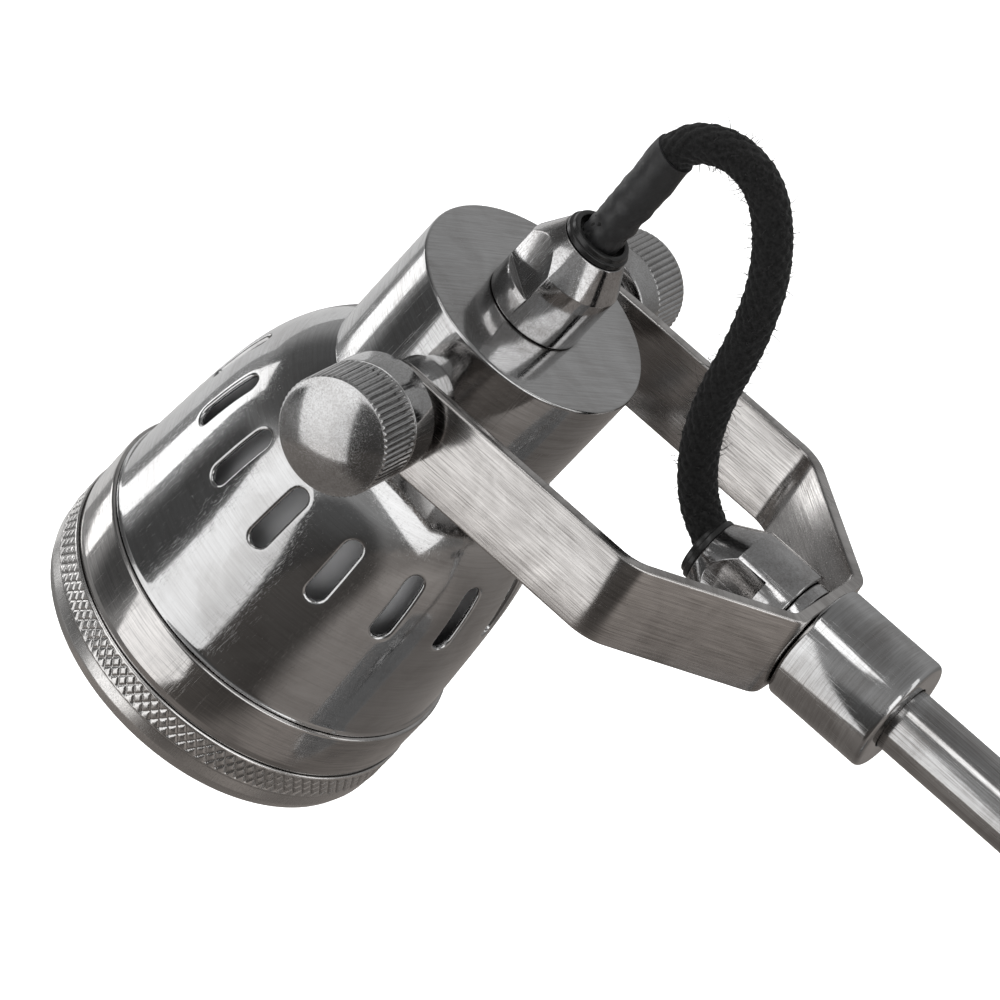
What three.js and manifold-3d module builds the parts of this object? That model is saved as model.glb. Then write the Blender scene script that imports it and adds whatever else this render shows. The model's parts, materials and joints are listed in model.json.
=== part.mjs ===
// Architect desk lamp in burnished nickel: weighted round base, two jointed arms,
// a flat-bar yoke, and a bell-shaped head with a vented shade and a knurled front ring.
// Millimetres, +Z up. The origin is the centre of the base's resting face. The arms swing
// in the XZ plane and every pivot axis runs along Y. The head hangs on the -X side.

import * as THREE from "three";
import { mergeVertices } from "three/addons/utils/BufferGeometryUtils.js";
import Module from "manifold-3d";

const wasm = await Module();
wasm.setup();

// ---------------------------------------------------------------- driving dimensions

const DEG = Math.PI / 180;
const GAP = 0.3; // left between two pieces that touch

// Sides of a turned solid
const FINE = 12;
const MEDIUM = 18;
const LARGE = 30;

// Stance: angles are measured in the XZ plane from +X towards +Z.
const SHOULDER_HEIGHT = 80;
const LOWER_ARM_LENGTH = 360; // shoulder axis to elbow axis
const LOWER_ARM_ANGLE = 70;
const UPPER_ARM_LENGTH = 380; // elbow axis to head axis
const UPPER_ARM_ANGLE = 147.4;
const HEAD_ANGLE = 48.2; // of the head's axis, from the front ring to the gland

// Arms
const TUBE_RADIUS = 8;
const TUBE_WALL = 1.5;
const COLLAR_RADIUS = 14.7;
const COLLAR_ROUND = 1.6;

// Knuckles of the shoulder and the elbow, measured from the pivot axis
const KNUCKLE_REACH = 24; // from the pivot axis to the solid part of the collar
const KNUCKLE_COLLAR = 26; // length of the collar past that
const TONGUE_HALF = 4.5;
const FRICTION_WASHER = 1;
const EAR_THICKNESS = 5;
const EAR_INNER = TONGUE_HALF + FRICTION_WASHER + 2 * GAP;
const EAR_OUTER = EAR_INNER + EAR_THICKNESS;
const PIVOT_RADIUS = 3.8;
const PIVOT_HOLE = PIVOT_RADIUS + 0.4;

// Thumbscrew knobs
const KNOB_RADIUS = 13.9;
const KNOB_BAND = 8.2; // plain rear band
const KNOB_LENGTH = 20.9; // rear face to the edge of the domed face
const KNOB_DOME = 2.4;
const KNOB_BORE = 10.5;

// Yoke
const YOKE_HALF = 44.6; // centre to the arms' outer faces
const STRIP = 3.05;
const STRIP_WIDTH = 22.5;
const YOKE_STRAIGHT = 66; // pivot axis to the inward bend
const YOKE_LENGTH = 98.5; // pivot axis to the web's outer face
const WEB_HALF = 15.6;
const BEND_RADIUS = 11;
const WEB_CORNER = 4.2;
const YOKE_COLLAR = 26.8;
const HEAD_KNOB_REAR = 47.3; // centre to a head knob's rear face

// Glands, measured from the face that each one sits on
const GLAND_RADIUS = 12.3;
const GLAND_STRAIGHT = 15.4;
const GLAND_LENGTH = 23;
const GLAND_MOUTH = 8.3;
const GLAND_FLATS = 9.6; // axis to a spanner flat
const GLAND_FLAT_START = 7;
const GLAND_BORE = 6.6;
const NIPPLE_RADIUS = 5;
const GROMMET_RADIUS = 8.7;
const GROMMET_LIP = 2.6;
const CORD_RADIUS = 4.5;
const CORD_HOLE = CORD_RADIUS + GAP;

// Head, measured along its axis from the pivot; the front ring is on the negative side
const CAP_RADIUS = 30;
const CAP_TOP = 18;
const CAP_BOTTOM = -18;
const CAP_WALL = 1.8;
const SHELL = 1.3;
const BELL_NECK = 28.9; // radius where the bell leaves the cap
const BELL_END = -83.8;
const BELL_MOUTH = 46.3;
const SPIGOT_END = -96;
const BAND_START = -84.2;
const BAND_END = -98.3;
const BAND_RADIUS = 47.8;
const BEZEL_START = -98.9;
const BEZEL_END = -113.4;
const BEZEL_RADIUS = 48;
const FRONT_OPENING = 41.5;
const SLOT_COUNT = 15;
const SLOT_CENTRE = -43.8;
const SLOT_LENGTH = 20;
const SLOT_WIDTH = 5.4;
const SLOT_PHASE = -2.3;
const BOSS_RADIUS = 8.2;
const REFLECTOR_GAP = 5.5;

// Base
const BASE_RADIUS = 118;
const BASE_HEIGHT = 25;
const PAD_THICKNESS = 2;
const HUB_RADIUS = 25;
const HUB_HEIGHT = 13;

// ---------------------------------------------------------------- materials

const metal = new THREE.MeshStandardMaterial({ color: 0x8f8c87, roughness: 0.28, metalness: 1 });
const brushed = new THREE.MeshStandardMaterial({ color: 0x8a8783, roughness: 0.4, metalness: 1 });
const iron = new THREE.MeshStandardMaterial({ color: 0x85827d, roughness: 0.35, metalness: 1 });
const brass = new THREE.MeshStandardMaterial({ color: 0xb08d4f, roughness: 0.35, metalness: 1 });
const bright = new THREE.MeshStandardMaterial({ color: 0xc9cacb, roughness: 0.2, metalness: 1 });
const rubber = new THREE.MeshStandardMaterial({ color: 0x101011, roughness: 0.55, metalness: 0 });
const sheath = new THREE.MeshStandardMaterial({ color: 0x1b1b1c, roughness: 0.7, metalness: 0 });
const cotton = new THREE.MeshStandardMaterial({ color: 0x0c0c0d, roughness: 0.95, metalness: 0 });
const fibre = new THREE.MeshStandardMaterial({ color: 0x2c2622, roughness: 0.8, metalness: 0 });
const ceramic = new THREE.MeshStandardMaterial({ color: 0xe8e4da, roughness: 0.35, metalness: 0 });
const glass = new THREE.MeshStandardMaterial({ color: 0xf4f1ea, roughness: 0.15, metalness: 0 });

// ---------------------------------------------------------------- making solids

// A geometry as a manifold-3d solid.
function solid(geometry) {
  const bare = geometry.index ? geometry.toNonIndexed() : geometry.clone();
  bare.deleteAttribute("normal");
  bare.deleteAttribute("uv");
  const merged = mergeVertices(bare, 1e-4);
  const vertProperties = new Float32Array(merged.attributes.position.array);
  const triVerts = new Uint32Array(merged.index.array);
  return new wasm.Manifold(new wasm.Mesh({ numProp: 3, vertProperties, triVerts }));
}

// A manifold-3d solid as a geometry.
function geometryOf(body) {
  const { vertProperties, triVerts } = body.getMesh();
  const geometry = new THREE.BufferGeometry();
  geometry.setAttribute("position", new THREE.BufferAttribute(vertProperties, 3));
  geometry.setIndex(new THREE.BufferAttribute(triVerts, 1));
  geometry.computeVertexNormals();
  return geometry;
}

function cut(body, ...tools) {
  return geometryOf(tools.reduce((rest, tool) => rest.subtract(solid(tool)), solid(body)));
}

function common(body, ...others) {
  return geometryOf(others.reduce((whole, other) => whole.intersect(solid(other)), solid(body)));
}

// A solid turned about the local X axis. The [along, radius] points run forward on the outside
// and back on the inside, or from the axis to the axis.
function turned(profile, segments = FINE) {
  const onAxis = profile[0][1] < 1e-6 && profile[profile.length - 1][1] < 1e-6;
  const closed = onAxis ? profile : [...profile, profile[0]];
  const points = closed.map(([along, radius]) => new THREE.Vector2(radius, along));
  return new THREE.LatheGeometry(points, segments).rotateZ(-Math.PI / 2);
}

// Turns a solid made along X to lie along +Y (side 1) or -Y (side -1).
function alongY(geometry, side) {
  return geometry.rotateZ((side * Math.PI) / 2);
}

function rod(from, to, radius, segments = FINE) {
  return turned([[from, 0], [from, radius], [to, radius], [to, 0]], segments);
}

function tube(from, to, inner, outer, segments = FINE) {
  return turned([[from, outer], [to, outer], [to, inner], [from, inner]], segments);
}

function box(from, to) {
  const size = to.map((value, i) => value - from[i]);
  const centre = to.map((value, i) => (value + from[i]) / 2);
  return new THREE.BoxGeometry(...size).translate(...centre);
}

// Points on an arc in an [along, radius] profile; angles in degrees from the along direction.
function arc(along, radius, size, start, end, steps = 3) {
  return Array.from({ length: steps + 1 }, (_, i) => {
    const angle = (start + ((end - start) * i) / steps) * DEG;
    return [along + size * Math.cos(angle), radius + size * Math.sin(angle)];
  });
}

// An outline in the XZ plane, extruded evenly to both sides of Y = 0.
function slab(shape, thickness) {
  const options = { depth: thickness, bevelEnabled: false, curveSegments: 12 };
  const geometry = new THREE.ExtrudeGeometry(shape, options);
  return geometry.rotateX(Math.PI / 2).translate(0, thickness / 2, 0);
}

// A bar outline from a full round end about the origin to a square end at `length`.
function roundEnded(radius, length) {
  const shape = new THREE.Shape();
  shape.absarc(0, 0, radius, Math.PI / 2, (3 * Math.PI) / 2, false);
  shape.lineTo(length, -radius);
  shape.lineTo(length, radius);
  shape.closePath();
  return shape;
}

// A path of straight runs and round bends, moved sideways by `offset` to its left.
function bentPath(corners, radii, offset, steps = 4) {
  const points = [];
  corners.forEach((corner, i) => {
    const here = new THREE.Vector2(...corner);
    const before = i > 0 ? new THREE.Vector2(...corners[i - 1]) : null;
    const after = i < corners.length - 1 ? new THREE.Vector2(...corners[i + 1]) : null;
    const into = here.clone().sub(before ?? here).normalize();
    const out = (after ?? here).clone().sub(here).normalize();
    if (!before || !after) {
      const along = before ? into : out;
      points.push(new THREE.Vector2(here.x - along.y * offset, here.y + along.x * offset));
      return;
    }
    const turn = Math.atan2(into.cross(out), into.dot(out));
    const side = Math.sign(turn);
    const reach = radii[i] * Math.tan(Math.abs(turn) / 2);
    const start = here.clone().addScaledVector(into, -reach);
    const centre = start.clone().add(new THREE.Vector2(-into.y, into.x).multiplyScalar(side * radii[i]));
    const spoke = start.clone().sub(centre).multiplyScalar((radii[i] - side * offset) / radii[i]);
    for (let step = 0; step <= steps; step += 1) {
      points.push(spoke.clone().rotateAround(new THREE.Vector2(), (turn * step) / steps).add(centre));
    }
  });
  return points;
}

// ---------------------------------------------------------------- the scene graph

const lamp = new THREE.Group();

function frameAt(x, z, angle) {
  const frame = new THREE.Group();
  frame.position.set(x, 0, z);
  frame.rotation.y = -angle * DEG;
  lamp.add(frame);
  return frame;
}

function add(frame, name, geometry, material) {
  const mesh = new THREE.Mesh(geometry, material);
  mesh.name = name;
  frame.add(mesh);
}

const elbowX = LOWER_ARM_LENGTH * Math.cos(LOWER_ARM_ANGLE * DEG);
const elbowZ = SHOULDER_HEIGHT + LOWER_ARM_LENGTH * Math.sin(LOWER_ARM_ANGLE * DEG);
const headX = elbowX + UPPER_ARM_LENGTH * Math.cos(UPPER_ARM_ANGLE * DEG);
const headZ = elbowZ + UPPER_ARM_LENGTH * Math.sin(UPPER_ARM_ANGLE * DEG);

const baseFrame = frameAt(0, 0, 90); // local X points up
const postFrame = frameAt(0, SHOULDER_HEIGHT, -90); // local X points down from the shoulder
const lowerFrame = frameAt(0, SHOULDER_HEIGHT, LOWER_ARM_ANGLE);
const elbowFrame = frameAt(elbowX, elbowZ, LOWER_ARM_ANGLE + 180); // back along the lower arm
const upperFrame = frameAt(elbowX, elbowZ, UPPER_ARM_ANGLE);
const yokeFrame = frameAt(headX, headZ, UPPER_ARM_ANGLE - 180); // from the head to the arm
const headFrame = frameAt(headX, headZ, HEAD_ANGLE);

// ---------------------------------------------------------------- pieces used more than once

// A knuckle is turned from round bar and milled: its end is round about the pivot axis.
function knuckleBlank(endFlat) {
  const length = KNUCKLE_REACH + KNUCKLE_COLLAR;
  const bar = turned([
    [-COLLAR_RADIUS, 0],
    [-COLLAR_RADIUS, COLLAR_RADIUS],
    ...arc(length - COLLAR_ROUND, COLLAR_RADIUS - COLLAR_ROUND, COLLAR_ROUND, 90, 0),
    [length, 0],
  ], MEDIUM);
  const outline = roundEnded(COLLAR_RADIUS, length + 1);
  const milled = common(bar, slab(outline, 2 * COLLAR_RADIUS + 2));
  const past = COLLAR_RADIUS + 1;
  const flats = [-1, 1].map((side) => {
    const near = Math.min(side * endFlat, side * past);
    const far = Math.max(side * endFlat, side * past);
    return box([-past, near, -past], [KNUCKLE_REACH - 3, far, past]);
  });
  return cut(milled, ...flats, alongY(rod(-past, past, PIVOT_HOLE), 1));
}

// The socket that the arm's tube is brazed into.
function tubeSocket() {
  const end = KNUCKLE_REACH + KNUCKLE_COLLAR;
  return rod(KNUCKLE_REACH + 10, end + 1, TUBE_RADIUS + GAP);
}

function fork() {
  const past = COLLAR_RADIUS + 1;
  const slot = box([-past, -EAR_INNER, -past], [KNUCKLE_REACH - 3, EAR_INNER, past]);
  return cut(knuckleBlank(EAR_OUTER), slot);
}

function tongue() {
  return cut(knuckleBlank(TONGUE_HALF), tubeSocket());
}

function knob() {
  const edge = KNOB_RADIUS - 0.9;
  const domeRadius = (edge ** 2 + KNOB_DOME ** 2) / (2 * KNOB_DOME);
  const domeCentre = KNOB_LENGTH + KNOB_DOME - domeRadius;
  const domeAngle = Math.asin(edge / domeRadius) / DEG;
  return turned([
    [KNOB_BORE, 0],
    [KNOB_BORE, PIVOT_HOLE],
    [0, PIVOT_HOLE],
    [0, KNOB_RADIUS - 1],
    [0.8, KNOB_RADIUS],
    [KNOB_LENGTH - 0.6, KNOB_RADIUS],
    ...arc(domeCentre, 0, domeRadius, domeAngle, 0, 3),
  ], MEDIUM);
}

// A knob's threaded stud, from its depth in the knob's bore to `reach` past the rear face.
function stud(reach) {
  return rod(-reach, KNOB_BORE - GAP, PIVOT_RADIUS);
}

function capNut() {
  return turned([
    [0, 0],
    [0, 8.4],
    [1, 9],
    [4, 9],
    ...arc(4, 0, 8, 80, 0, 4),
  ]);
}

function washer(from, inner, outer, thickness) {
  return tube(from, from + thickness, inner, outer);
}

function hexNut(from, thickness, hole, radius) {
  const to = from + thickness;
  return cut(rod(from, to, radius, 6), rod(from - 1, to + 1, hole));
}

function gland() {
  const tail = -12;
  const body = turned([
    [tail, NIPPLE_RADIUS],
    [0, NIPPLE_RADIUS],
    ...arc(0.6, GLAND_RADIUS - 0.6, 0.6, 180, 90, 2),
    [GLAND_STRAIGHT, GLAND_RADIUS],
    [GLAND_LENGTH, GLAND_MOUTH],
    [GLAND_LENGTH, GLAND_BORE],
    [GLAND_LENGTH - 8, GLAND_BORE],
    [GLAND_LENGTH - 8, NIPPLE_RADIUS - 1.2],
    [tail, NIPPLE_RADIUS - 1.2],
  ], MEDIUM);
  const wide = GLAND_RADIUS + 1;
  const flats = [
    box([GLAND_FLAT_START, GLAND_FLATS, -wide], [GLAND_LENGTH + 1, wide, wide]),
    box([GLAND_FLAT_START, -wide, -wide], [GLAND_LENGTH + 1, -GLAND_FLATS, wide]),
  ];
  return cut(body, ...flats.map((flat) => flat.rotateX(-20 * DEG)));
}

function grommet() {
  const body = GLAND_BORE - GAP;
  return turned([
    [-7, body],
    [GAP, body],
    ...arc(GAP + 0.7, GROMMET_RADIUS - 0.7, 0.7, 180, 90, 2),
    ...arc(GAP + GROMMET_LIP - 1.1, GROMMET_RADIUS - 1.1, 1.1, 90, 0, 2),
    [GAP + GROMMET_LIP, CORD_HOLE],
    [-7, CORD_HOLE],
  ]);
}

// ---------------------------------------------------------------- base

add(baseFrame, "base_pad", turned([
  [0, 0],
  [0, BASE_RADIUS - 4],
  [PAD_THICKNESS, BASE_RADIUS - 4],
  [PAD_THICKNESS, 0],
], LARGE), rubber);

const baseTop = PAD_THICKNESS + GAP + BASE_HEIGHT;
add(baseFrame, "base_plate", turned([
  [PAD_THICKNESS + GAP, 17],
  [PAD_THICKNESS + GAP, BASE_RADIUS - 2],
  [PAD_THICKNESS + GAP + 2, BASE_RADIUS],
  [baseTop - 8, BASE_RADIUS],
  ...arc(baseTop - 8, BASE_RADIUS - 8, 8, 90, 0, 4).slice(1),
  [baseTop, 5.4],
  [12, 5.4],
  [12, 17],
], LARGE), iron);

add(baseFrame, "base_hub", turned([
  [baseTop + GAP, HUB_RADIUS],
  [baseTop + 3, HUB_RADIUS],
  [baseTop + 4, HUB_RADIUS - 2],
  [baseTop + HUB_HEIGHT - 3, HUB_RADIUS - 4],
  ...arc(baseTop + HUB_HEIGHT - 2, HUB_RADIUS - 7, 2, 90, 0, 2),
  [baseTop + HUB_HEIGHT, 5.4],
  [baseTop + GAP, 5.4],
], MEDIUM), metal);

const hubTop = baseTop + HUB_HEIGHT;
add(baseFrame, "base_bolt", turned([
  [4, 0],
  [4, 8.5],
  [10, 8.5],
  [10, 5],
  [hubTop - 1, 5],
  [hubTop - 1, 0],
]), brushed);
add(baseFrame, "base_bolt_washer", tube(10 + GAP, 12 - GAP, 5.4, 14), brushed);
add(baseFrame, "swivel_bearing", tube(hubTop + GAP, hubTop + 1.3, 5.4, 14), fibre);

// Mains inlet at the back of the base, on the side away from the head
const inletFrame = frameAt(BASE_RADIUS + GAP, PAD_THICKNESS + GAP + 8, 0);
add(inletFrame, "inlet_gland", turned([
  [0, 6.5],
  [4, 6.5],
  [8, 5],
  [8, 3.6],
  [0, 3.6],
]), metal);
add(inletFrame, "inlet_grommet", turned([
  [8 + GAP, 4.8],
  [10, 4.8],
  [14, 4],
  [14, 3.2],
  [8 + GAP, 3.2],
]), rubber);

// ---------------------------------------------------------------- swivelling post and shoulder

// The hardware of one knuckle: friction washers, pivot bolt, cap nut, and the knob with its washer.
function knuckleHardware(frame, joint) {
  for (const [side, end] of [[-1, "near"], [1, "far"]]) {
    const disc = washer(TONGUE_HALF + GAP, PIVOT_HOLE, COLLAR_RADIUS - 1.5, FRICTION_WASHER);
    add(frame, `${joint}_washer_${end}`, alongY(disc, side), fibre);
  }
  const knobRear = EAR_OUTER + 2 + 2 * GAP;
  const nutFace = EAR_OUTER + GAP;
  const bolt = rod(-nutFace + 2 * GAP, knobRear - GAP, PIVOT_RADIUS);
  add(frame, `${joint}_bolt`, alongY(bolt, -1), brushed);
  add(frame, `${joint}_cap_nut`, alongY(capNut().translate(nutFace, 0, 0), 1), metal);
  const collar = washer(EAR_OUTER + GAP, PIVOT_HOLE, 10, 2);
  add(frame, `${joint}_knob_washer`, alongY(collar, -1), metal);
  add(frame, `${joint}_knob`, alongY(knob().translate(knobRear, 0, 0), -1), metal);
}

const postLength = SHOULDER_HEIGHT - hubTop - 1.3 - GAP;
const postTrim = box([postLength, -20, -20], [KNUCKLE_REACH + KNUCKLE_COLLAR + 1, 20, 20]);
const postSocket = rod(KNUCKLE_REACH + 3, postLength + 1, 5.4);
add(postFrame, "swivel_post", cut(fork(), postTrim, postSocket), metal);
knuckleHardware(lowerFrame, "shoulder");

// ---------------------------------------------------------------- lower arm and elbow

const socketFloor = KNUCKLE_REACH + 10 + GAP;
add(lowerFrame, "lower_arm_foot", tongue(), metal);
add(lowerFrame, "lower_arm_tube", tube(
  socketFloor, LOWER_ARM_LENGTH - socketFloor, TUBE_RADIUS - TUBE_WALL, TUBE_RADIUS,
), brushed);
add(elbowFrame, "elbow_fork", cut(fork(), tubeSocket()), metal);
knuckleHardware(upperFrame, "elbow");

// ---------------------------------------------------------------- upper arm

const collarEnd = YOKE_LENGTH + GAP + YOKE_COLLAR;
const collarFloor = collarEnd - 13;
add(upperFrame, "upper_arm_foot", tongue(), metal);
add(upperFrame, "upper_arm_tube", tube(
  socketFloor, UPPER_ARM_LENGTH - collarFloor - GAP, TUBE_RADIUS - TUBE_WALL, TUBE_RADIUS,
), brushed);
add(yokeFrame, "arm_collar", turned([
  ...arc(YOKE_LENGTH + GAP + COLLAR_ROUND, COLLAR_RADIUS - COLLAR_ROUND, COLLAR_ROUND, 180, 90),
  ...arc(collarEnd - COLLAR_ROUND, COLLAR_RADIUS - COLLAR_ROUND, COLLAR_ROUND, 90, 0),
  [collarEnd, TUBE_RADIUS + GAP],
  [collarFloor, TUBE_RADIUS + GAP],
  [collarFloor, NIPPLE_RADIUS + GAP],
  [YOKE_LENGTH + GAP, NIPPLE_RADIUS + GAP],
], MEDIUM), metal);

// ---------------------------------------------------------------- yoke

const middle = YOKE_HALF - STRIP / 2;
const webMiddle = YOKE_LENGTH - STRIP / 2;
const webEdge = WEB_HALF - STRIP / 3;
const yokeCorners = [
  [-STRIP_WIDTH / 2, -middle],
  [YOKE_STRAIGHT, -middle],
  [webMiddle, -webEdge],
  [webMiddle, webEdge],
  [YOKE_STRAIGHT, middle],
  [-STRIP_WIDTH / 2, middle],
];
const yokeRadii = [0, BEND_RADIUS, WEB_CORNER, WEB_CORNER, BEND_RADIUS, 0];
const yokeOutline = new THREE.Shape([
  ...bentPath(yokeCorners, yokeRadii, -STRIP / 2),
  ...bentPath(yokeCorners, yokeRadii, STRIP / 2).reverse(),
]);
const yokeBar = new THREE.ExtrudeGeometry(yokeOutline, { depth: STRIP_WIDTH, bevelEnabled: false })
  .translate(0, 0, -STRIP_WIDTH / 2);
const yokeSides = slab(roundEnded(STRIP_WIDTH / 2, YOKE_LENGTH + 2), 2 * YOKE_HALF + 4);
add(yokeFrame, "yoke", cut(
  common(yokeBar, yokeSides),
  alongY(rod(-YOKE_HALF - 2, YOKE_HALF + 2, PIVOT_HOLE), 1),
  rod(YOKE_LENGTH - STRIP - 2, YOKE_LENGTH + 2, NIPPLE_RADIUS + GAP),
), brushed);

const webInner = YOKE_LENGTH - STRIP;
const nutThickness = 3.2;
const glandSeat = webInner - nutThickness - 2 * GAP;
add(yokeFrame, "yoke_gland_nut", cut(
  tube(webInner - GAP - nutThickness, webInner - GAP, NIPPLE_RADIUS + GAP, 10.9),
  box([webInner - 5, -14, -0.5], [webInner, 0, 0.5]),
), metal);

// The gland's tail is the threaded nipple that runs through the nut, the web and the collar.
add(yokeFrame, "yoke_gland", gland().rotateZ(Math.PI).translate(glandSeat, 0, 0), metal);
const yokeGrommetSeat = glandSeat - GLAND_LENGTH;
add(yokeFrame, "yoke_grommet", grommet().rotateZ(Math.PI).translate(yokeGrommetSeat, 0, 0), rubber);

// ---------------------------------------------------------------- head

// Outside radius of the bell at a place along the head's axis, from the cap to the band.
const bellCurve = new THREE.CubicBezierCurve(
  new THREE.Vector2(CAP_BOTTOM, BELL_NECK),
  new THREE.Vector2(CAP_BOTTOM - 15.1, BELL_NECK + 14.7),
  new THREE.Vector2(BELL_END + 40.3, BELL_MOUTH - 3.2),
  new THREE.Vector2(BELL_END, BELL_MOUTH),
);
const bellPoints = bellCurve.getPoints(6).map((point) => [point.x, point.y]).reverse();

// The bell's curve moved inwards, square to itself, by a distance.
function bellInside(distance, steps) {
  return Array.from({ length: steps + 1 }, (_, i) => {
    const point = bellCurve.getPoint(i / steps);
    const tangent = bellCurve.getTangent(i / steps);
    return [point.x + tangent.y * distance, point.y + tangent.x * distance];
  });
}

const neckTop = CAP_BOTTOM + 5;
const neckRadius = CAP_RADIUS - CAP_WALL - 2 * GAP;
const spigotRadius = BELL_MOUTH - 1;
const bellShell = turned([
  [SPIGOT_END, spigotRadius],
  [BAND_START + GAP, spigotRadius],
  ...bellPoints.slice(0, -1),
  [CAP_BOTTOM - GAP, neckRadius + 1],
  [CAP_BOTTOM - GAP, neckRadius],
  [neckTop, neckRadius],
  [neckTop, neckRadius - SHELL],
  ...bellInside(SHELL, 5).slice(1, -1),
  [BELL_END, spigotRadius - SHELL],
  [SPIGOT_END, spigotRadius - SHELL],
], LARGE);

// One vent slot's cutter: a bar with round ends along the head's axis, reaching outwards.
function slotCutter(index) {
  const half = SLOT_LENGTH / 2 - SLOT_WIDTH / 2;
  const outline = new THREE.Shape();
  outline.absarc(half, 0, SLOT_WIDTH / 2, -Math.PI / 2, Math.PI / 2, false);
  outline.absarc(-half, 0, SLOT_WIDTH / 2, Math.PI / 2, (3 * Math.PI) / 2, false);
  const reach = { depth: 20, bevelEnabled: false, curveSegments: 2 };
  return new THREE.ExtrudeGeometry(outline, reach)
    .translate(SLOT_CENTRE, 0, BELL_MOUTH - 16)
    .rotateX((90 + SLOT_PHASE + (360 / SLOT_COUNT) * index) * DEG);
}
const slots = Array.from({ length: SLOT_COUNT }, (_, index) => slotCutter(index));
add(headFrame, "bell_shade", cut(bellShell, ...slots), metal);

add(headFrame, "cap_housing", cut(
  turned([
    [CAP_BOTTOM, CAP_RADIUS],
    [CAP_TOP - 0.7, CAP_RADIUS],
    [CAP_TOP, CAP_RADIUS - 0.7],
    [CAP_TOP, NIPPLE_RADIUS + GAP],
    [CAP_TOP - 2.5, NIPPLE_RADIUS + GAP],
    [CAP_TOP - 2.5, CAP_RADIUS - CAP_WALL],
    [CAP_BOTTOM, CAP_RADIUS - CAP_WALL],
  ], LARGE),
  alongY(rod(-CAP_RADIUS - 2, CAP_RADIUS + 2, PIVOT_HOLE), 1),
), brushed);

add(headFrame, "shade_band", turned([
  [BAND_END, BAND_RADIUS - 1],
  ...arc(BAND_END + 1, BAND_RADIUS - 1, 1, 180, 90, 2),
  ...arc(BAND_START - 1, BAND_RADIUS - 1, 1, 90, 0, 2),
  [BAND_START, spigotRadius + GAP],
  [BAND_END, spigotRadius + GAP],
], LARGE), metal);

add(headFrame, "front_ring", turned([
  [BEZEL_END, FRONT_OPENING + 1],
  ...arc(BEZEL_END + 2.6, BEZEL_RADIUS - 2.6, 2.6, 180, 90, 2),
  [BEZEL_START - 0.4, BEZEL_RADIUS],
  [BEZEL_START, BEZEL_RADIUS - 0.6],
  [BEZEL_START, 43.6],
  [BEZEL_END + 4, 43.6],
  [BEZEL_END + 4, FRONT_OPENING],
  [BEZEL_END + 1, FRONT_OPENING],
], LARGE), metal);

// Spun liner that throws the light forward; the front ring holds its flange.
const linerFloor = -25;
const linerWall = 0.8;
const linerFront = SPIGOT_END - GAP;
const linerOutside = bellInside(REFLECTOR_GAP, 5).filter(([along]) => along < linerFloor - 2);
const linerInside = bellInside(REFLECTOR_GAP + linerWall, 5).filter(([along]) => along < linerFloor - 2);
add(headFrame, "reflector", turned([
  [linerFront - 1, 44.6],
  [linerFront, 44.6],
  [linerFront, 42.6],
  ...linerOutside.slice().reverse(),
  [linerFloor, 27.5],
  [linerFloor, 20.4],
  [linerFloor - linerWall, 20.4],
  [linerFloor - linerWall, 27],
  ...linerInside,
  [linerFront - 1, 42.6 - linerWall],
], LARGE), bright);

// Lamp holder, its carrier plate, and the lamp
const holderRadius = 19.6;
add(headFrame, "lamp_holder", turned([
  [-30, holderRadius - 1.5],
  [-27, holderRadius],
  [1, holderRadius],
  [5, 12],
  [5, 0],
  [0, 0],
  [0, 13.6],
  [-30, 13.6],
], MEDIUM), ceramic);
const plateRadius = CAP_RADIUS - CAP_WALL - GAP;
add(headFrame, "holder_plate", tube(-11.5, -10, holderRadius + GAP, plateRadius, MEDIUM), bright);

const lampShell = 0.8;
add(headFrame, "lamp_base", turned([
  [-29, 13],
  [-7, 13],
  [-3, 7],
  [-0.5, 4],
  [-0.5, 0],
  [-2, 0],
  [-8, 12.2],
  [-29, 12.2],
]), brass);
const globeRadius = 26;
const globeCentre = -64;
add(headFrame, "lamp_globe", turned([
  ...arc(globeCentre, 0, globeRadius, 180, 62, 5),
  [-40, 18],
  [-32, 12.8],
  [-29 - GAP, 12.8],
  [-29 - GAP, 12.8 - lampShell],
  [-32, 12.8 - lampShell],
  [-40, 18 - lampShell],
  ...arc(globeCentre, 0, globeRadius - lampShell, 62, 180, 5),
], MEDIUM), glass);

// Bosses that space the yoke arms off the cap, and the knobs that clamp them
const capClear = rod(CAP_BOTTOM - 5, CAP_TOP + 5, CAP_RADIUS + GAP, LARGE);
const bossEnd = YOKE_HALF - STRIP - GAP;
for (const [side, end] of [[-1, "near"], [1, "far"]]) {
  const boss = alongY(tube(CAP_RADIUS - 3, bossEnd, PIVOT_HOLE, BOSS_RADIUS), side);
  add(headFrame, `pivot_boss_${end}`, cut(boss, capClear), metal);
  const inner = CAP_RADIUS - CAP_WALL - 6;
  const nut = hexNut(inner, 4.6, PIVOT_HOLE, 7.2);
  add(headFrame, `pivot_nut_${end}`, alongY(nut, side), brushed);
  const reach = HEAD_KNOB_REAR - inner + 1;
  const screw = stud(reach).translate(HEAD_KNOB_REAR, 0, 0);
  add(headFrame, `head_stud_${end}`, alongY(screw, side), brushed);
  const washerFrom = YOKE_HALF + GAP;
  const spacer = washer(washerFrom, PIVOT_HOLE, 10.5, HEAD_KNOB_REAR - washerFrom - GAP);
  add(headFrame, `head_knob_washer_${end}`, alongY(spacer, side), metal);
  add(headFrame, `head_knob_${end}`, alongY(knob().translate(HEAD_KNOB_REAR, 0, 0), side), metal);
}

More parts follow.
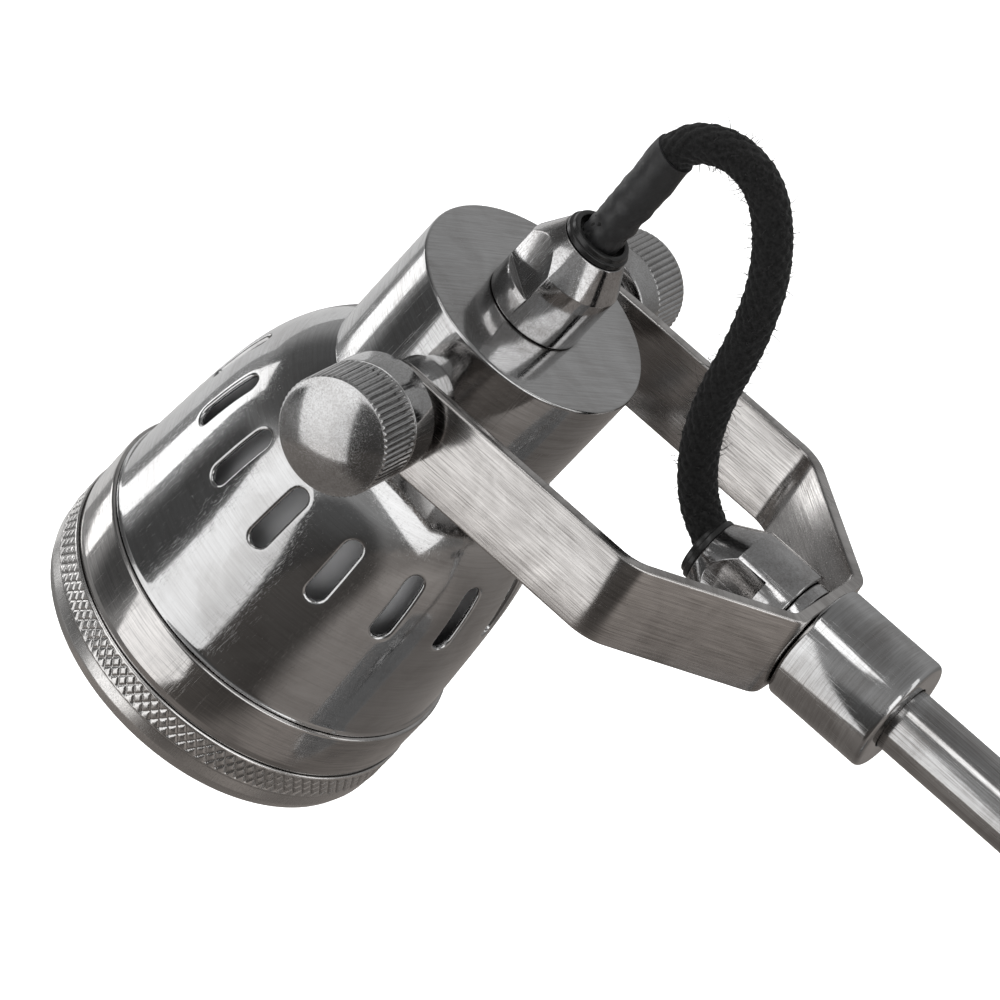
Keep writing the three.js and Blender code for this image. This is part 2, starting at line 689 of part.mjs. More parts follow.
// Cord gland on the cap
const headGlandSeat = CAP_TOP + GAP;
add(headFrame, "head_gland", gland().translate(headGlandSeat, 0, 0), metal);
const headGrommetSeat = headGlandSeat + GLAND_LENGTH;
add(headFrame, "head_grommet", grommet().translate(headGrommetSeat, 0, 0), rubber);
add(headFrame, "head_gland_nut", hexNut(
  CAP_TOP - 2.5 - GAP - 4, 4, NIPPLE_RADIUS + GAP, 9.8,
), brushed);

// ---------------------------------------------------------------- cord

// The cord's centre line in the XZ plane, from the head's grommet to the yoke's.
const cordPoints = [
  [30.0, 33.4],
  [35.6, 39.9],
  [41.7, 47.0],
  [47.2, 53.9],
  [53.4, 57.2],
  [61.2, 56.5],
  [67.3, 52.4],
  [70.6, 46.8],
  [71.8, 40.0],
  [71.7, 33.5],
  [70.6, 27.0],
  [68.6, 20.6],
  [65.8, 13.8],
  [62.6, 7.4],
  [59.4, 1.4],
  [56.6, -5.2],
  [54.7, -12.0],
  [54.0, -18.5],
  [54.3, -24.0],
  [55.5, -28.4],
].map(([x, z]) => new THREE.Vector3(headX + x, 0, headZ + z));
const cordCurve = new THREE.CatmullRomCurve3(cordPoints, false, "centripetal");

function polygon(radius, sides) {
  return Array.from({ length: sides }, (_, i) => {
    const angle = (2 * Math.PI * i) / sides;
    return new THREE.Vector2(radius * Math.cos(angle), radius * Math.sin(angle));
  });
}

const cordShape = new THREE.Shape(polygon(CORD_RADIUS, 10));
const cordGeometry = new THREE.ExtrudeGeometry(cordShape, { steps: 24, extrudePath: cordCurve });
add(lamp, "cord", cordGeometry, cotton);

// Heat-shrink sleeve over the cord's first stretch
const sleeveCurve = new THREE.CatmullRomCurve3(cordCurve.getSpacedPoints(48).slice(0, 11));
const sleeveShape = new THREE.Shape(polygon(CORD_RADIUS + 0.75, 10));
sleeveShape.holes.push(new THREE.Path(polygon(CORD_RADIUS + 0.35, 10).reverse()));
const sleeveGeometry = new THREE.ExtrudeGeometry(sleeveShape, { steps: 6, extrudePath: sleeveCurve });
add(lamp, "cord_sleeve", sleeveGeometry, sheath);

export default lamp;
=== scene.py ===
"""Jointed desk lamp in burnished nickel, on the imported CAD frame. Metres, +Z up."""

import contextlib
import json
import math
import random

import bmesh
import bpy
from mathutils import Matrix, Vector, noise


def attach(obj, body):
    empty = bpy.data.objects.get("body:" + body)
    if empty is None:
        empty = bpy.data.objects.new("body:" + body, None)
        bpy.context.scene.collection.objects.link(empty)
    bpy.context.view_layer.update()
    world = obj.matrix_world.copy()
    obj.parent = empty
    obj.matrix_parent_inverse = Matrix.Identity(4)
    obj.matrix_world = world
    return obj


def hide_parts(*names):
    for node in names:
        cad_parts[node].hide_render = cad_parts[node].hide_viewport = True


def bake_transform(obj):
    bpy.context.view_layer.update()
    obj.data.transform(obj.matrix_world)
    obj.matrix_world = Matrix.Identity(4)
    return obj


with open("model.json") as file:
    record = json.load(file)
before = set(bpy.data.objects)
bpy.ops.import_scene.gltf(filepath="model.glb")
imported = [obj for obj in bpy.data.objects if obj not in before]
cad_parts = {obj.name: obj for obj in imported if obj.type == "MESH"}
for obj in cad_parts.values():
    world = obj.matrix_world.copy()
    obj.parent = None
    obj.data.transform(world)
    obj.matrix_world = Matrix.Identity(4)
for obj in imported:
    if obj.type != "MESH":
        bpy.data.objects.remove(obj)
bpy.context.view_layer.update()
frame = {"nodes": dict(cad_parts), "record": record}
MM = 0.001
TAU = 2 * math.pi

# ---------------- where things are

joints = {j["name"]: j for j in frame["record"]["behaviour"]["joints"]}


def joint_pos(name):
    return Vector(joints[name]["pos_m"])


HEAD = joint_pos("head_tilt")
ELBOW = joint_pos("elbow_bend")
SHOULDER = joint_pos("shoulder_tilt")
HEAD_AXIS = Vector(joints["front_ring_turn"]["axis"]).normalized()
YOKE_AXIS = Vector(joints["yoke_roll"]["axis"]).normalized()
LOWER_AXIS = (ELBOW - SHOULDER).normalized()
UP = Vector((0, 0, 1))
SIDE = Vector((0, 1, 0))


def placed(origin, along, side=SIDE):
    """A local frame with X along `along` and Y along `side`, in millimetres."""
    x = along.normalized()
    y = (side - x * side.dot(x)).normalized()
    z = x.cross(y)
    turn = Matrix((x, y, z)).transposed().to_4x4()
    return Matrix.Translation(origin) @ turn @ Matrix.Scale(MM, 4)


HEAD_FRAME = placed(HEAD, HEAD_AXIS)
YOKE_FRAME = placed(HEAD, YOKE_AXIS)
UPPER_FRAME = placed(ELBOW, -YOKE_AXIS)
LOWER_FRAME = placed(SHOULDER, LOWER_AXIS)
ELBOW_FRAME = placed(ELBOW, -LOWER_AXIS)
POST_FRAME = placed(SHOULDER, -UP)
BASE_FRAME = placed(Vector((0, 0, 0)), UP)


def sideways(origin, side):
    """A frame whose X points along +Y (side 1) or -Y (side -1)."""
    return placed(origin, SIDE * side, UP)


# ---------------- camera

AIM = HEAD + Vector((7.41, -7.79, -30.90)) * MM
LOOK = Vector((-0.47496, 0.81963, -0.32034)).normalized()
LENS, AWAY = 202.5, 1.27816  # millimetres, and metres from the aim
camera = bpy.data.objects.new("camera", bpy.data.cameras.new("camera"))
bpy.context.collection.objects.link(camera)
camera.data.lens = LENS
camera.data.sensor_width = 36
camera.data.clip_end = 50
camera.location = AIM - LOOK * AWAY
camera.rotation_euler = LOOK.to_track_quat("-Z", "Y").to_euler()
bpy.context.scene.camera = camera

# ---------------- node helpers


class Nodes:
    """Short calls that add and link nodes in one tree."""

    def __init__(self, tree):
        self.tree = tree

    def node(self, kind, **settings):
        made = self.tree.nodes.new("ShaderNode" + kind)
        for key, value in settings.items():
            setattr(made, key, value)
        return made

    def link(self, source, target):
        self.tree.links.new(source, target)

    def feed(self, target, value):
        if isinstance(value, bpy.types.NodeSocket):
            self.link(value, target)
        else:
            target.default_value = value

    def math(self, operation, a, b=0.0, c=0.0, clamp=False):
        made = self.node("Math", operation=operation, use_clamp=clamp)
        for target, value in zip(made.inputs, (a, b, c)):
            self.feed(target, value)
        return made.outputs[0]

    def coords(self):
        return self.node("TexCoord").outputs["Object"]

    def split(self, vector):
        made = self.node("SeparateXYZ")
        self.link(vector, made.inputs[0])
        return made.outputs

    def join(self, x, y, z):
        made = self.node("CombineXYZ")
        for target, value in zip(made.inputs, (x, y, z)):
            self.feed(target, value)
        return made.outputs[0]

    def noise(self, vector, scale, detail=3.0, rough=0.5, distortion=0.0):
        made = self.node("TexNoise")
        self.link(vector, made.inputs["Vector"])
        made.inputs["Scale"].default_value = scale
        made.inputs["Detail"].default_value = detail
        made.inputs["Roughness"].default_value = rough
        made.inputs["Distortion"].default_value = distortion
        return made.outputs["Fac"]

    def stretch(self, vector, x, y, z):
        made = self.node("Mapping")
        self.link(vector, made.inputs["Vector"])
        made.inputs["Scale"].default_value = (x, y, z)
        return made.outputs[0]

    def span(self, value, low, high, to_low=0.0, to_high=1.0, smooth=False):
        made = self.node("MapRange", clamp=True)
        if smooth:
            made.interpolation_type = "SMOOTHSTEP"
        self.feed(made.inputs["Value"], value)
        made.inputs["From Min"].default_value = low
        made.inputs["From Max"].default_value = high
        made.inputs["To Min"].default_value = to_low
        made.inputs["To Max"].default_value = to_high
        return made.outputs["Result"]

    def mix(self, factor, a, b):
        made = self.node("Mix", data_type="RGBA")
        self.feed(made.inputs["Factor"], factor)
        for target, value in ((made.inputs[6], a), (made.inputs[7], b)):
            if isinstance(value, tuple):
                value = (*value, 1.0)
            self.feed(target, value)
        return made.outputs[2]

    def bump(self, height, strength, distance, under=None):
        made = self.node("Bump")
        made.inputs["Strength"].default_value = strength
        made.inputs["Distance"].default_value = distance
        self.link(height, made.inputs["Height"])
        if under is not None:
            self.link(under, made.inputs["Normal"])
        return made.outputs[0]

    def crevice(self, distance):
        made = self.node("AmbientOcclusion", samples=8)
        made.inputs["Distance"].default_value = distance
        return made.outputs["AO"]

    def blend(self, factor, a, b):
        made = self.node("Mix", data_type="FLOAT")
        for target, value in zip((made.inputs[0], made.inputs[2], made.inputs[3]), (factor, a, b)):
            self.feed(target, value)
        return made.outputs[0]

    def rounded(self, radius):
        """The normal with edges rounded to that radius, and how much of an edge is here."""
        made = self.node("Bevel", samples=6)
        made.inputs["Radius"].default_value = radius
        same = self.node("VectorMath", operation="DOT_PRODUCT")
        self.link(made.outputs[0], same.inputs[0])
        self.link(self.node("NewGeometry").outputs["Normal"], same.inputs[1])
        return made.outputs[0], self.span(same.outputs["Value"], 0.99, 0.86)


class Shader(Nodes):
    """The nodes of a new material."""

    def __init__(self, name):
        self.material = bpy.data.materials.new(name)
        self.material.use_nodes = True
        super().__init__(self.material.node_tree)
        self.surface = self.tree.nodes["Principled BSDF"]

    def set(self, **sockets):
        """Give the surface's sockets a value or a link. A name has _ for each space."""
        for key, value in sockets.items():
            self.feed(self.surface.inputs[key.replace("_", " ")], value)


def unrolled(shader, radius):
    """Coordinates of a turned piece, in millimetres: along its axis, and round it at that radius."""
    x, y, z = shader.split(shader.coords())
    angle = shader.math("ARCTAN2", z, y)
    return x, shader.math("MULTIPLY", angle, radius)


def streaks(s, where, turn, density, seed, scale=(0.05, 3.0, 3.0)):
    """Thin, long, straight marks in one direction: 1 on a mark."""
    mapping = s.node("Mapping")
    s.link(where, mapping.inputs["Vector"])
    mapping.inputs["Location"].default_value = (seed, seed * 1.7, seed * 0.6)
    mapping.inputs["Rotation"].default_value = turn
    mapping.inputs["Scale"].default_value = scale
    return s.span(s.noise(mapping.outputs[0], 1.0, 1.5, 0.5), density, density + 0.03)


HAIR = (0.12, 5.0, 5.0)
WAYS = ((0.3, 0.5, 0.9), (1.2, -0.4, -0.5), (-0.6, 1.1, 2.0), (2.1, 0.2, 1.3))


def metal(name, bright, dark, roughness, grain, radius=20.0, grain_depth=0.25, wear=0.5,
          aniso=0.0, scratch=0.3, spread=0.16, patina_and_shade_reach=(2.5, 0.72, 0.2), edge=0.3, face_turn=None,
          streaky=0.5):
    """Burnished nickel. grain is "round" for turned or brushed round the local X axis, "along"
    for brushed along it on round stock, "flat" for strip brushed along it, or "fine" for none.
    face_turn brushes the faces square to X straight across, at that angle."""
    s = Shader(name)
    where = s.coords()
    if grain == "round":
        fine = s.noise(s.stretch(where, 3.0, 0.09, 0.09), 1.0, 4.0, 0.75)
        broad = s.noise(s.stretch(where, 1.3, 0.03, 0.03), 1.0, 3.0, 0.6)
    elif grain == "along":
        x, arc = unrolled(s, radius)
        lined = s.join(s.math("MULTIPLY", x, 0.05), s.math("MULTIPLY", arc, 2.4), 0.0)
        fine = s.noise(lined, 1.0, 4.0, 0.65)
        wide = s.join(s.math("MULTIPLY", x, 0.02), s.math("MULTIPLY", arc, 1.2), 3.0)
        broad = s.noise(wide, 1.0, 3.0, 0.6)
    elif grain == "flat":
        run = s.node("Attribute", attribute_name="run").outputs["Fac"]
        _, y, z = s.split(where)
        strip = s.join(run, z, s.math("MULTIPLY", s.math("SIGN", y), 40.0))
        fine = s.noise(s.stretch(strip, 0.06, 3.0, 3.0), 1.0, 5.0, 0.8)
        broad = s.noise(s.stretch(strip, 0.03, 1.1, 1.1), 1.0, 3.0, 0.6)
    else:
        fine = s.noise(where, 2.2, 4.0, 0.8)
        broad = s.noise(where, 0.8, 3.0, 0.6)
    if face_turn is not None:
        turned_face = s.node("Mapping")
        s.link(where, turned_face.inputs["Vector"])
        turned_face.inputs["Rotation"].default_value = (face_turn, 0, 0)
        across = s.noise(s.stretch(turned_face.outputs[0], 1.0, 0.06, 2.2), 1.0, 5.0, 0.8)
        facing = s.math("ABSOLUTE", s.split(s.node("TexCoord").outputs["Normal"])[0])
        fine = s.blend(s.span(facing, 0.85, 0.95), fine, across)
    cloud = s.noise(where, 0.06, 4.0, 0.6, 0.6)
    worn = s.span(cloud, 0.38, 0.68, smooth=True)
    streak = s.span(broad, 0.42, 0.72)
    smooth_normal, rim = s.rounded(edge * MM)
    tone = s.math("MULTIPLY", worn, wear, clamp=True)
    tone = s.math("ADD", tone, s.math("MULTIPLY", streak, 0.5 * wear), clamp=True)
    tone = s.math("ADD", tone, s.span(fine, 0.42, 0.68, 0.0, streaky), clamp=True)
    # Ambient occlusion darkens hollows towards near-black: dark patina in the metal's own grooves, and
    # painted shade in recesses and where parts sit close together.
    reach, open_to, shut = patina_and_shade_reach
    patina_and_shade = s.span(s.crevice(reach * MM), open_to, shut, 0.0, 0.85)
    # Edges take a brighter colour: rubbed wear, and a painted highlight.
    metal_color = s.mix(s.math("MULTIPLY", rim, 0.8), s.mix(tone, bright, dark), RUBBED_AND_HIGHLIT)
    s.set(Base_Color=s.mix(patina_and_shade, metal_color, HOLLOW_PATINA_AND_SHADE), Metallic=1.0)
    marks, hairs = None, None
    for number, way in enumerate(WAYS):
        mark = streaks(s, where, way, 0.70, 3.0 + 9 * number)
        hair = streaks(s, where, tuple(v * 1.3 for v in way), 0.67, 5.0 + 7 * number, HAIR)
        marks = mark if marks is None else s.math("MAXIMUM", marks, mark)
        hairs = hair if hairs is None else s.math("MAXIMUM", hairs, hair)
    scored = s.math("MAXIMUM", marks, s.math("MULTIPLY", hairs, 0.5))
    lined = s.span(fine, 0.5, 0.78, roughness, roughness + spread)
    lined = s.math("ADD", lined, s.math("MULTIPLY", scored, 0.15))
    lined = s.math("ADD", lined, s.math("MULTIPLY", rim, 0.1))
    s.set(Roughness=s.math("ADD", lined, s.math("MULTIPLY", worn, 0.04)), Anisotropic=aniso)
    if aniso:
        s.set(Tangent=s.node("Tangent", direction_type="RADIAL", axis="X").outputs[0])
    grained = s.bump(fine, grain_depth, 0.02 * MM, smooth_normal)
    s.set(Normal=s.bump(scored, scratch, 0.02 * MM, grained))
    return s.material


def plain(name, color, roughness, metallic=0.0, **sockets):
    s = Shader(name)
    s.set(Base_Color=(*color, 1.0), Roughness=roughness, Metallic=metallic, **sockets)
    return s.material


NICKEL = (0.64, 0.642, 0.645)
SHADED = (0.45, 0.442, 0.438)
PATINA = (0.29, 0.275, 0.265)
# Near-black of the hollows: dark patina and painted shade.
HOLLOW_PATINA_AND_SHADE = (0.07, 0.065, 0.06)
RUBBED_AND_HIGHLIT = (0.93, 0.925, 0.92)  # edges rubbed bright, and a painted highlight on them
# A warmer, lighter nickel for the band and the strip: a warm tone, and painted light in its extra lightness.
WARM_LIT_NICKEL = (0.74, 0.72, 0.705)
# How far and how strongly hollows darken on the knurled ring, the fluted knobs and the close-fitting strip
# and collar: patina and painted shade.
KNURLED = (0.7, 0.94, 0.62)
FLUTED = (0.35, 0.8, 0.15)
CLOSE = (1.2, 0.6, 0.1)

bell_metal = metal("bell_metal", NICKEL, SHADED, 0.05, "round", wear=0.5, grain_depth=0.1, spread=0.1,
                   scratch=0.16, streaky=0.3)
cap_metal = metal("cap_metal", NICKEL, SHADED, 0.07, "round", wear=0.5, spread=0.12, grain_depth=0.2,
                  scratch=0.15, face_turn=math.radians(24), streaky=0.8)
band_metal = metal("band_metal", WARM_LIT_NICKEL, SHADED, 0.07, "round", wear=0.4, grain_depth=0.16, spread=0.1,
                   scratch=0.12, streaky=0.7)
# The knurled ring's lighter colour is painted light on the tops of the knurl.
knurl_metal = metal("knurl_metal", (0.86, 0.845, 0.83), SHADED, 0.18, "fine", wear=0.2, scratch=0.1,
                    patina_and_shade_reach=KNURLED, edge=0.12)
knob_metal = metal("knob_metal", NICKEL, SHADED, 0.05, "fine", wear=0.5, grain_depth=0.3, spread=0.12,
                   scratch=0.35, patina_and_shade_reach=FLUTED, edge=0.12, streaky=0.9)
gland_metal = metal("gland_metal", (0.66, 0.66, 0.665), PATINA, 0.06, "fine", wear=0.45,
                    grain_depth=0.2, scratch=0.2)
strip_metal = metal("strip_metal", WARM_LIT_NICKEL, PATINA, 0.12, "flat", wear=0.3, grain_depth=0.4, scratch=0.12,
                    spread=0.2, edge=0.5, streaky=0.8, patina_and_shade_reach=CLOSE)
collar_metal = metal("collar_metal", NICKEL, PATINA, 0.07, "round", wear=0.4, spread=0.12, grain_depth=0.14,
                     scratch=0.2, patina_and_shade_reach=CLOSE, streaky=0.35)
tube_metal = metal("tube_metal", NICKEL, PATINA, 0.08, "along", radius=8.0, wear=0.45,
                   spread=0.14, scratch=0.2)
base_metal = metal("base_metal", NICKEL, SHADED, 0.16, "round", wear=0.45, aniso=0.3)
rubber = plain("rubber", (0.008, 0.008, 0.008), 0.25)
pad_rubber = plain("pad_rubber", (0.02, 0.02, 0.02), 0.8)
fibre = plain("fibre", (0.06, 0.045, 0.035), 0.8)
liner = plain("liner", (0.78, 0.78, 0.79), 0.32, 1.0)
# A darker copy of the liner for the reflector's outer back: painted shade.
shaded_liner_back = plain("shaded_liner_back", (0.3, 0.3, 0.305), 0.5)
porcelain = plain("porcelain", (0.82, 0.8, 0.75), 0.25)
brass = plain("brass", (0.66, 0.5, 0.26), 0.3, 1.0)
opal = plain("opal", (0.92, 0.91, 0.88), 0.12, Subsurface_Weight=0.0, Coat_Weight=0.4)

# ---------------- mesh helpers


def new_object(name, vertices, faces, place, material, sharp=30.0):
    """A mesh in a local frame, smooth except at edges sharper than `sharp` degrees."""
    mesh = bpy.data.meshes.new(name)
    mesh.from_pydata([tuple(v) for v in vertices], [], faces)
    mesh.validate()
    made = bpy.data.objects.new(name, mesh)
    bpy.context.collection.objects.link(made)
    made.matrix_world = place
    mesh.materials.append(material)
    smooth(made, sharp)
    return made


def smooth(made, sharp=30.0):
    made.data.polygons.foreach_set("use_smooth", [True] * len(made.data.polygons))
    made.data.set_sharp_from_angle(angle=math.radians(sharp))


def scaled(value, low, high):
    return min(max((value - low) / (high - low), 0.0), 1.0)


def filleted(profile, steps=5):
    """A profile of [along, radius, fillet] corners as points, each corner with a fillet rounded."""
    points = []
    count = len(profile)
    for i, corner in enumerate(profile):
        here = Vector(corner[:2])
        size = corner[2] if len(corner) > 2 else 0.0
        before = Vector(profile[i - 1][:2])
        after = Vector(profile[(i + 1) % count][:2])
        back, ahead = (before - here), (after - here)
        if size <= 0 or back.length < 1e-6 or ahead.length < 1e-6:
            points.append(here)
            continue
        half = back.angle(ahead) / 2
        reach = min(size / math.tan(half), 0.49 * back.length, 0.49 * ahead.length)
        size = reach * math.tan(half)
        back.normalize()
        ahead.normalize()
        centre = here + (back + ahead).normalized() * size / math.sin(half)
        first, last = here + back * reach - centre, here + ahead * reach - centre
        turn = first.angle_signed(last)
        for step in range(steps + 1):
            angle = -turn * step / steps
            c, s = math.cos(angle), math.sin(angle)
            points.append(centre + Vector((first.x * c - first.y * s, first.x * s + first.y * c)))
    return [(p.x, p.y) for p in points]


def turned(name, profile, place, body, nodes, material, sides=128, bend=None, sharp=30.0, steps=5,
           own=True):
    """A solid of revolution about local X. bend(x, r, angle) may move a radius. Points on
    the axis close it."""
    points = filleted(profile, steps)
    vertices, faces, rings = [], [], []
    for x, r in points:
        if r < 1e-6:
            rings.append([len(vertices)] * sides)
            vertices.append((x, 0.0, 0.0))
            continue
        ring = []
        for i in range(sides):
            angle = TAU * i / sides
            size = bend(x, r, angle) if bend else r
            ring.append(len(vertices))
            vertices.append((x, size * math.cos(angle), size * math.sin(angle)))
        rings.append(ring)
    pairs = list(zip(rings, rings[1:]))
    if points[0][1] > 1e-6 or points[-1][1] > 1e-6:
        pairs.append((rings[-1], rings[0]))
    for a, b in pairs:
        for i in range(sides):
            j = (i + 1) % sides
            corners = [a[i], b[i], b[j], a[j]]
            faces.append([v for k, v in enumerate(corners) if v != corners[k - 1]])
    made = new_object(name, vertices, [f for f in faces if len(f) > 2], place, material, sharp)
    facing_out(made)
    if own:
        finish_piece(made, body, nodes)
    return made


@contextlib.contextmanager
def opened(made):
    """The object's mesh, open for editing. Its faces point outwards when it closes."""
    work = bmesh.new()
    work.from_mesh(made.data)
    yield work
    bmesh.ops.recalc_face_normals(work, faces=work.faces)
    work.to_mesh(made.data)
    work.free()


def facing_out(made):
    with opened(made):
        pass


def skin(rings):
    """Faces between each ring of vertices and the next."""
    faces = []
    for a, b in zip(rings, rings[1:]):
        for k in range(len(a)):
            m = (k + 1) % len(a)
            faces.append([a[k], a[m], b[m], b[k]])
    return faces


def finish_piece(made, body, nodes):
    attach(made, body)
    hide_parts(*nodes)
    return made


def carved(made, tools, operation="DIFFERENCE"):
    """Cuts tool meshes from a mesh, or keeps what they share."""
    for tool in tools:
        modifier = made.modifiers.new("cut", "BOOLEAN")
        modifier.operation = operation
        modifier.solver = "EXACT"
        modifier.object = tool
        apply_modifiers(made)
        bpy.data.objects.remove(tool)
    return made


def apply_modifiers(made):
    bpy.context.view_layer.update()
    graph = bpy.context.evaluated_depsgraph_get()
    mesh = bpy.data.meshes.new_from_object(made.evaluated_get(graph))
    made.modifiers.clear()
    old = made.data
    made.data = mesh
    bpy.data.meshes.remove(old)


def eased(made, width=0.35, angle=40.0, segments=2):
    """Rounds a mesh's hard edges a little."""
    modifier = made.modifiers.new("edge", "BEVEL")
    modifier.width = width
    modifier.segments = segments
    modifier.limit_method = "ANGLE"
    modifier.angle_limit = math.radians(angle)
    modifier.use_clamp_overlap = True
    modifier.harden_normals = False
    apply_modifiers(made)
    smooth(made, 50.0)
    return made


def bar(name, outline, half, place, material):
    """An outline of (x, z) points, extruded along Y from -half to +half."""
    count = len(outline)
    vertices = [(x, side * half, z) for side in (-1, 1) for x, z in outline]
    faces = [list(range(count)), list(range(2 * count - 1, count - 1, -1))]
    for i in range(count):
        j = (i + 1) % count
        faces.append([j, i, i + count, j + count])
    made = new_object(name, vertices, faces, place, material)
    facing_out(made)
    return made


def block(name, low, high, place, material):
    outline = [(low[0], low[2]), (high[0], low[2]), (high[0], high[2]), (low[0], high[2])]
    made = bar(name, outline, 1.0, place, material)
    for vertex in made.data.vertices:
        vertex.co.y = high[1] if vertex.co.y > 0 else low[1]
    return made


# ---------------- cord route

CORD_POINTS = [
    (27.2, 30.4), (30.0, 33.4), (35.6, 39.9), (41.7, 47.0), (47.2, 53.9), (53.4, 57.2), (61.2, 56.5),
    (67.3, 52.4), (70.6, 46.8), (71.8, 40.0), (71.7, 33.5), (70.6, 27.0), (68.6, 20.6), (65.8, 13.8),
    (62.6, 7.4), (59.4, 1.4), (56.6, -5.2), (54.7, -12.0), (54.0, -18.5), (54.3, -24.0),
    (55.5, -28.4), (58.0, -34.0),
]


def smooth_route(points, per_span=12):
    """A Catmull-Rom route through points, evenly dense."""
    padded = [points[0] * 2 - points[1], *points, points[-1] * 2 - points[-2]]
    route = []
    for a, b, c, d in zip(padded, padded[1:], padded[2:], padded[3:]):
        for step in range(per_span):
            t = step / per_span
            route.append(0.5 * (2 * b + (c - a) * t + (2 * a - 5 * b + 4 * c - d) * t ** 2
                                + (3 * b - a - 3 * c + d) * t ** 3))
    return [*route, points[-1]]


def resampled(points, count):
    """The same route as count evenly spaced points."""
    lengths = [0.0]
    for a, b in zip(points, points[1:]):
        lengths.append(lengths[-1] + (b - a).length)
    made, k = [], 0
    for i in range(count):
        target = lengths[-1] * i / (count - 1)
        while k < len(points) - 2 and lengths[k + 1] < target:
            k += 1
        share = (target - lengths[k]) / (lengths[k + 1] - lengths[k])
        made.append(points[k].lerp(points[k + 1], share))
    return made, lengths[-1]


raw_route = smooth_route([HEAD + Vector((x, 0, z)) * MM for x, z in CORD_POINTS])
ROUTE_STEPS = 360
ROUTE, ROUTE_LENGTH = resampled(raw_route, ROUTE_STEPS + 1)
CORD_R = 4.5 * MM


def tube_along(name, route, radius_at, sides, material, sharp=60.0):
    """A closed tube in the row frame along a route in the XZ plane. radius_at(along, angle) in metres."""
    vertices = []
    along = 0.0
    for i, point in enumerate(route):
        before, after = route[max(i - 1, 0)], route[min(i + 1, len(route) - 1)]
        if i:
            along += (point - route[i - 1]).length
        tangent = (after - before).normalized()
        out = tangent.cross(SIDE).normalized()
        for k in range(sides):
            angle = TAU * k / sides
            size = radius_at(along, angle)
            vertices.append(point + (SIDE * math.cos(angle) + out * math.sin(angle)) * size)
    rings = [list(range(i * sides, (i + 1) * sides)) for i in range(len(route))]
    faces = [*skin(rings), rings[0][::-1], rings[-1]]
    made = new_object(name, vertices, faces, Matrix.Identity(4), material, sharp)
    facing_out(made)
    return made


BRAID_PITCH = 9.0 * MM
CARRIERS = 10


def braid(along, angle):
    """Radius of the braided cord: two families of strands that pass over and under each other."""
    u = CARRIERS * angle / TAU + along / BRAID_PITCH * CARRIERS / 4
    v = CARRIERS * angle / TAU - along / BRAID_PITCH * CARRIERS / 4
    one = abs(math.sin(math.pi * u))
    two = abs(math.sin(math.pi * v))
    over = 0.5 + 0.5 * math.cos(math.pi * (u + v)) * math.cos(math.pi * (u - v))
    height = over * one + (1 - over) * two
    return CORD_R - 0.4 * MM + 0.6 * MM * height


COTTON_BLACK, COTTON_GREY = (0.002, 0.002, 0.002), (0.014, 0.014, 0.014)
cotton_shader = Shader("cotton")
spot = cotton_shader.coords()
fuzz = cotton_shader.noise(spot, 1500.0, 4.0, 0.7)
cotton_shader.set(
    Base_Color=cotton_shader.mix(cotton_shader.span(fuzz, 0.35, 0.75), COTTON_BLACK, COTTON_GREY),
    Roughness=0.95,
    Sheen_Weight=0.05,
    Specular_IOR_Level=0.15,
    Normal=cotton_shader.bump(fuzz, 0.9, 0.3 * MM),
)
cord = tube_along("cord_loop", ROUTE, braid, 80, cotton_shader.material)


def add_stray_threads(made, count, first, last):
    """Loose cotton hairs on the cord, each a thin closed tube that curls away from it."""
    dice = random.Random(7)
    with opened(made) as work:
        for _ in range(count):
            at = dice.randrange(first, last)
            tangent = (ROUTE[at + 1] - ROUTE[at - 1]).normalized()
            out = tangent.cross(SIDE).normalized()
            angle = dice.uniform(0, TAU)
            away = SIDE * math.cos(angle) + out * math.sin(angle)
            round_it = away.cross(tangent)
            lean = tangent * dice.uniform(-1.2, 1.2) + round_it * dice.uniform(-0.8, 0.8)
            reach = dice.uniform(1.0, 3.0) * MM
            spot = ROUTE[at] + away * (CORD_R - 0.2 * MM)
            rings = []
            for step in range(5):
                t = step / 4
                middle = spot + away * reach * t + lean * reach * t * t
                thick = 0.1 * MM * (1 - 0.5 * t)
                rings.append([
                    work.verts.new(middle + (tangent * math.cos(a) + round_it * math.sin(a)) * thick)
                    for a in (0, TAU / 3, 2 * TAU / 3)
                ])
            for face in [*skin(rings), rings[0][::-1], rings[-1]]:
                work.faces.new(face)


# How many stray threads, and the steps of the route where they start and end
THREADS, THREADS_START, THREADS_END = 300, 92, 350
add_stray_threads(cord, THREADS, THREADS_START, THREADS_END)
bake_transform(cord)
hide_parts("cord")

# ---------------- cord sleeve

SLEEVE_END = 31.5 * MM
SLEEVE_START = 6  # steps of the route that are inside the gland


def sleeve_radius(along, angle):
    crumple = noise.noise(Vector((along / MM * 0.35, math.cos(angle) * 1.1, math.sin(angle) * 1.1)))
    near = 1 - scaled(along, 2 * MM, 22 * MM)
    return CORD_R + 0.62 * MM + (crumple * (0.14 + 0.5 * near) - 0.25 * near) * MM


sleeve_route = [p for i, p in enumerate(ROUTE) if i * ROUTE_LENGTH / ROUTE_STEPS < SLEEVE_END]
sleeve_shader = Shader("sleeve_skin")
creases = sleeve_shader.noise(sleeve_shader.coords(), 260.0, 3.0, 0.6)
sleeve_shader.set(
    Base_Color=(0.013, 0.013, 0.0135, 1),
    Roughness=sleeve_shader.span(creases, 0.35, 0.7, 0.36, 0.6),
    Normal=sleeve_shader.bump(creases, 0.5, 0.5 * MM),
)
sleeve = tube_along("sleeve_tube", sleeve_route[SLEEVE_START:], sleeve_radius, 64, sleeve_shader.material)
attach(sleeve, "head")
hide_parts("cord_sleeve")

# ---------------- knobs

KNOB_R, KNOB_LENGTH, KNOB_BAND, KNURL_START, KNURL_END = 13.9, 20.9, 8.0, 8.35, 20.5
FLUTES = 57


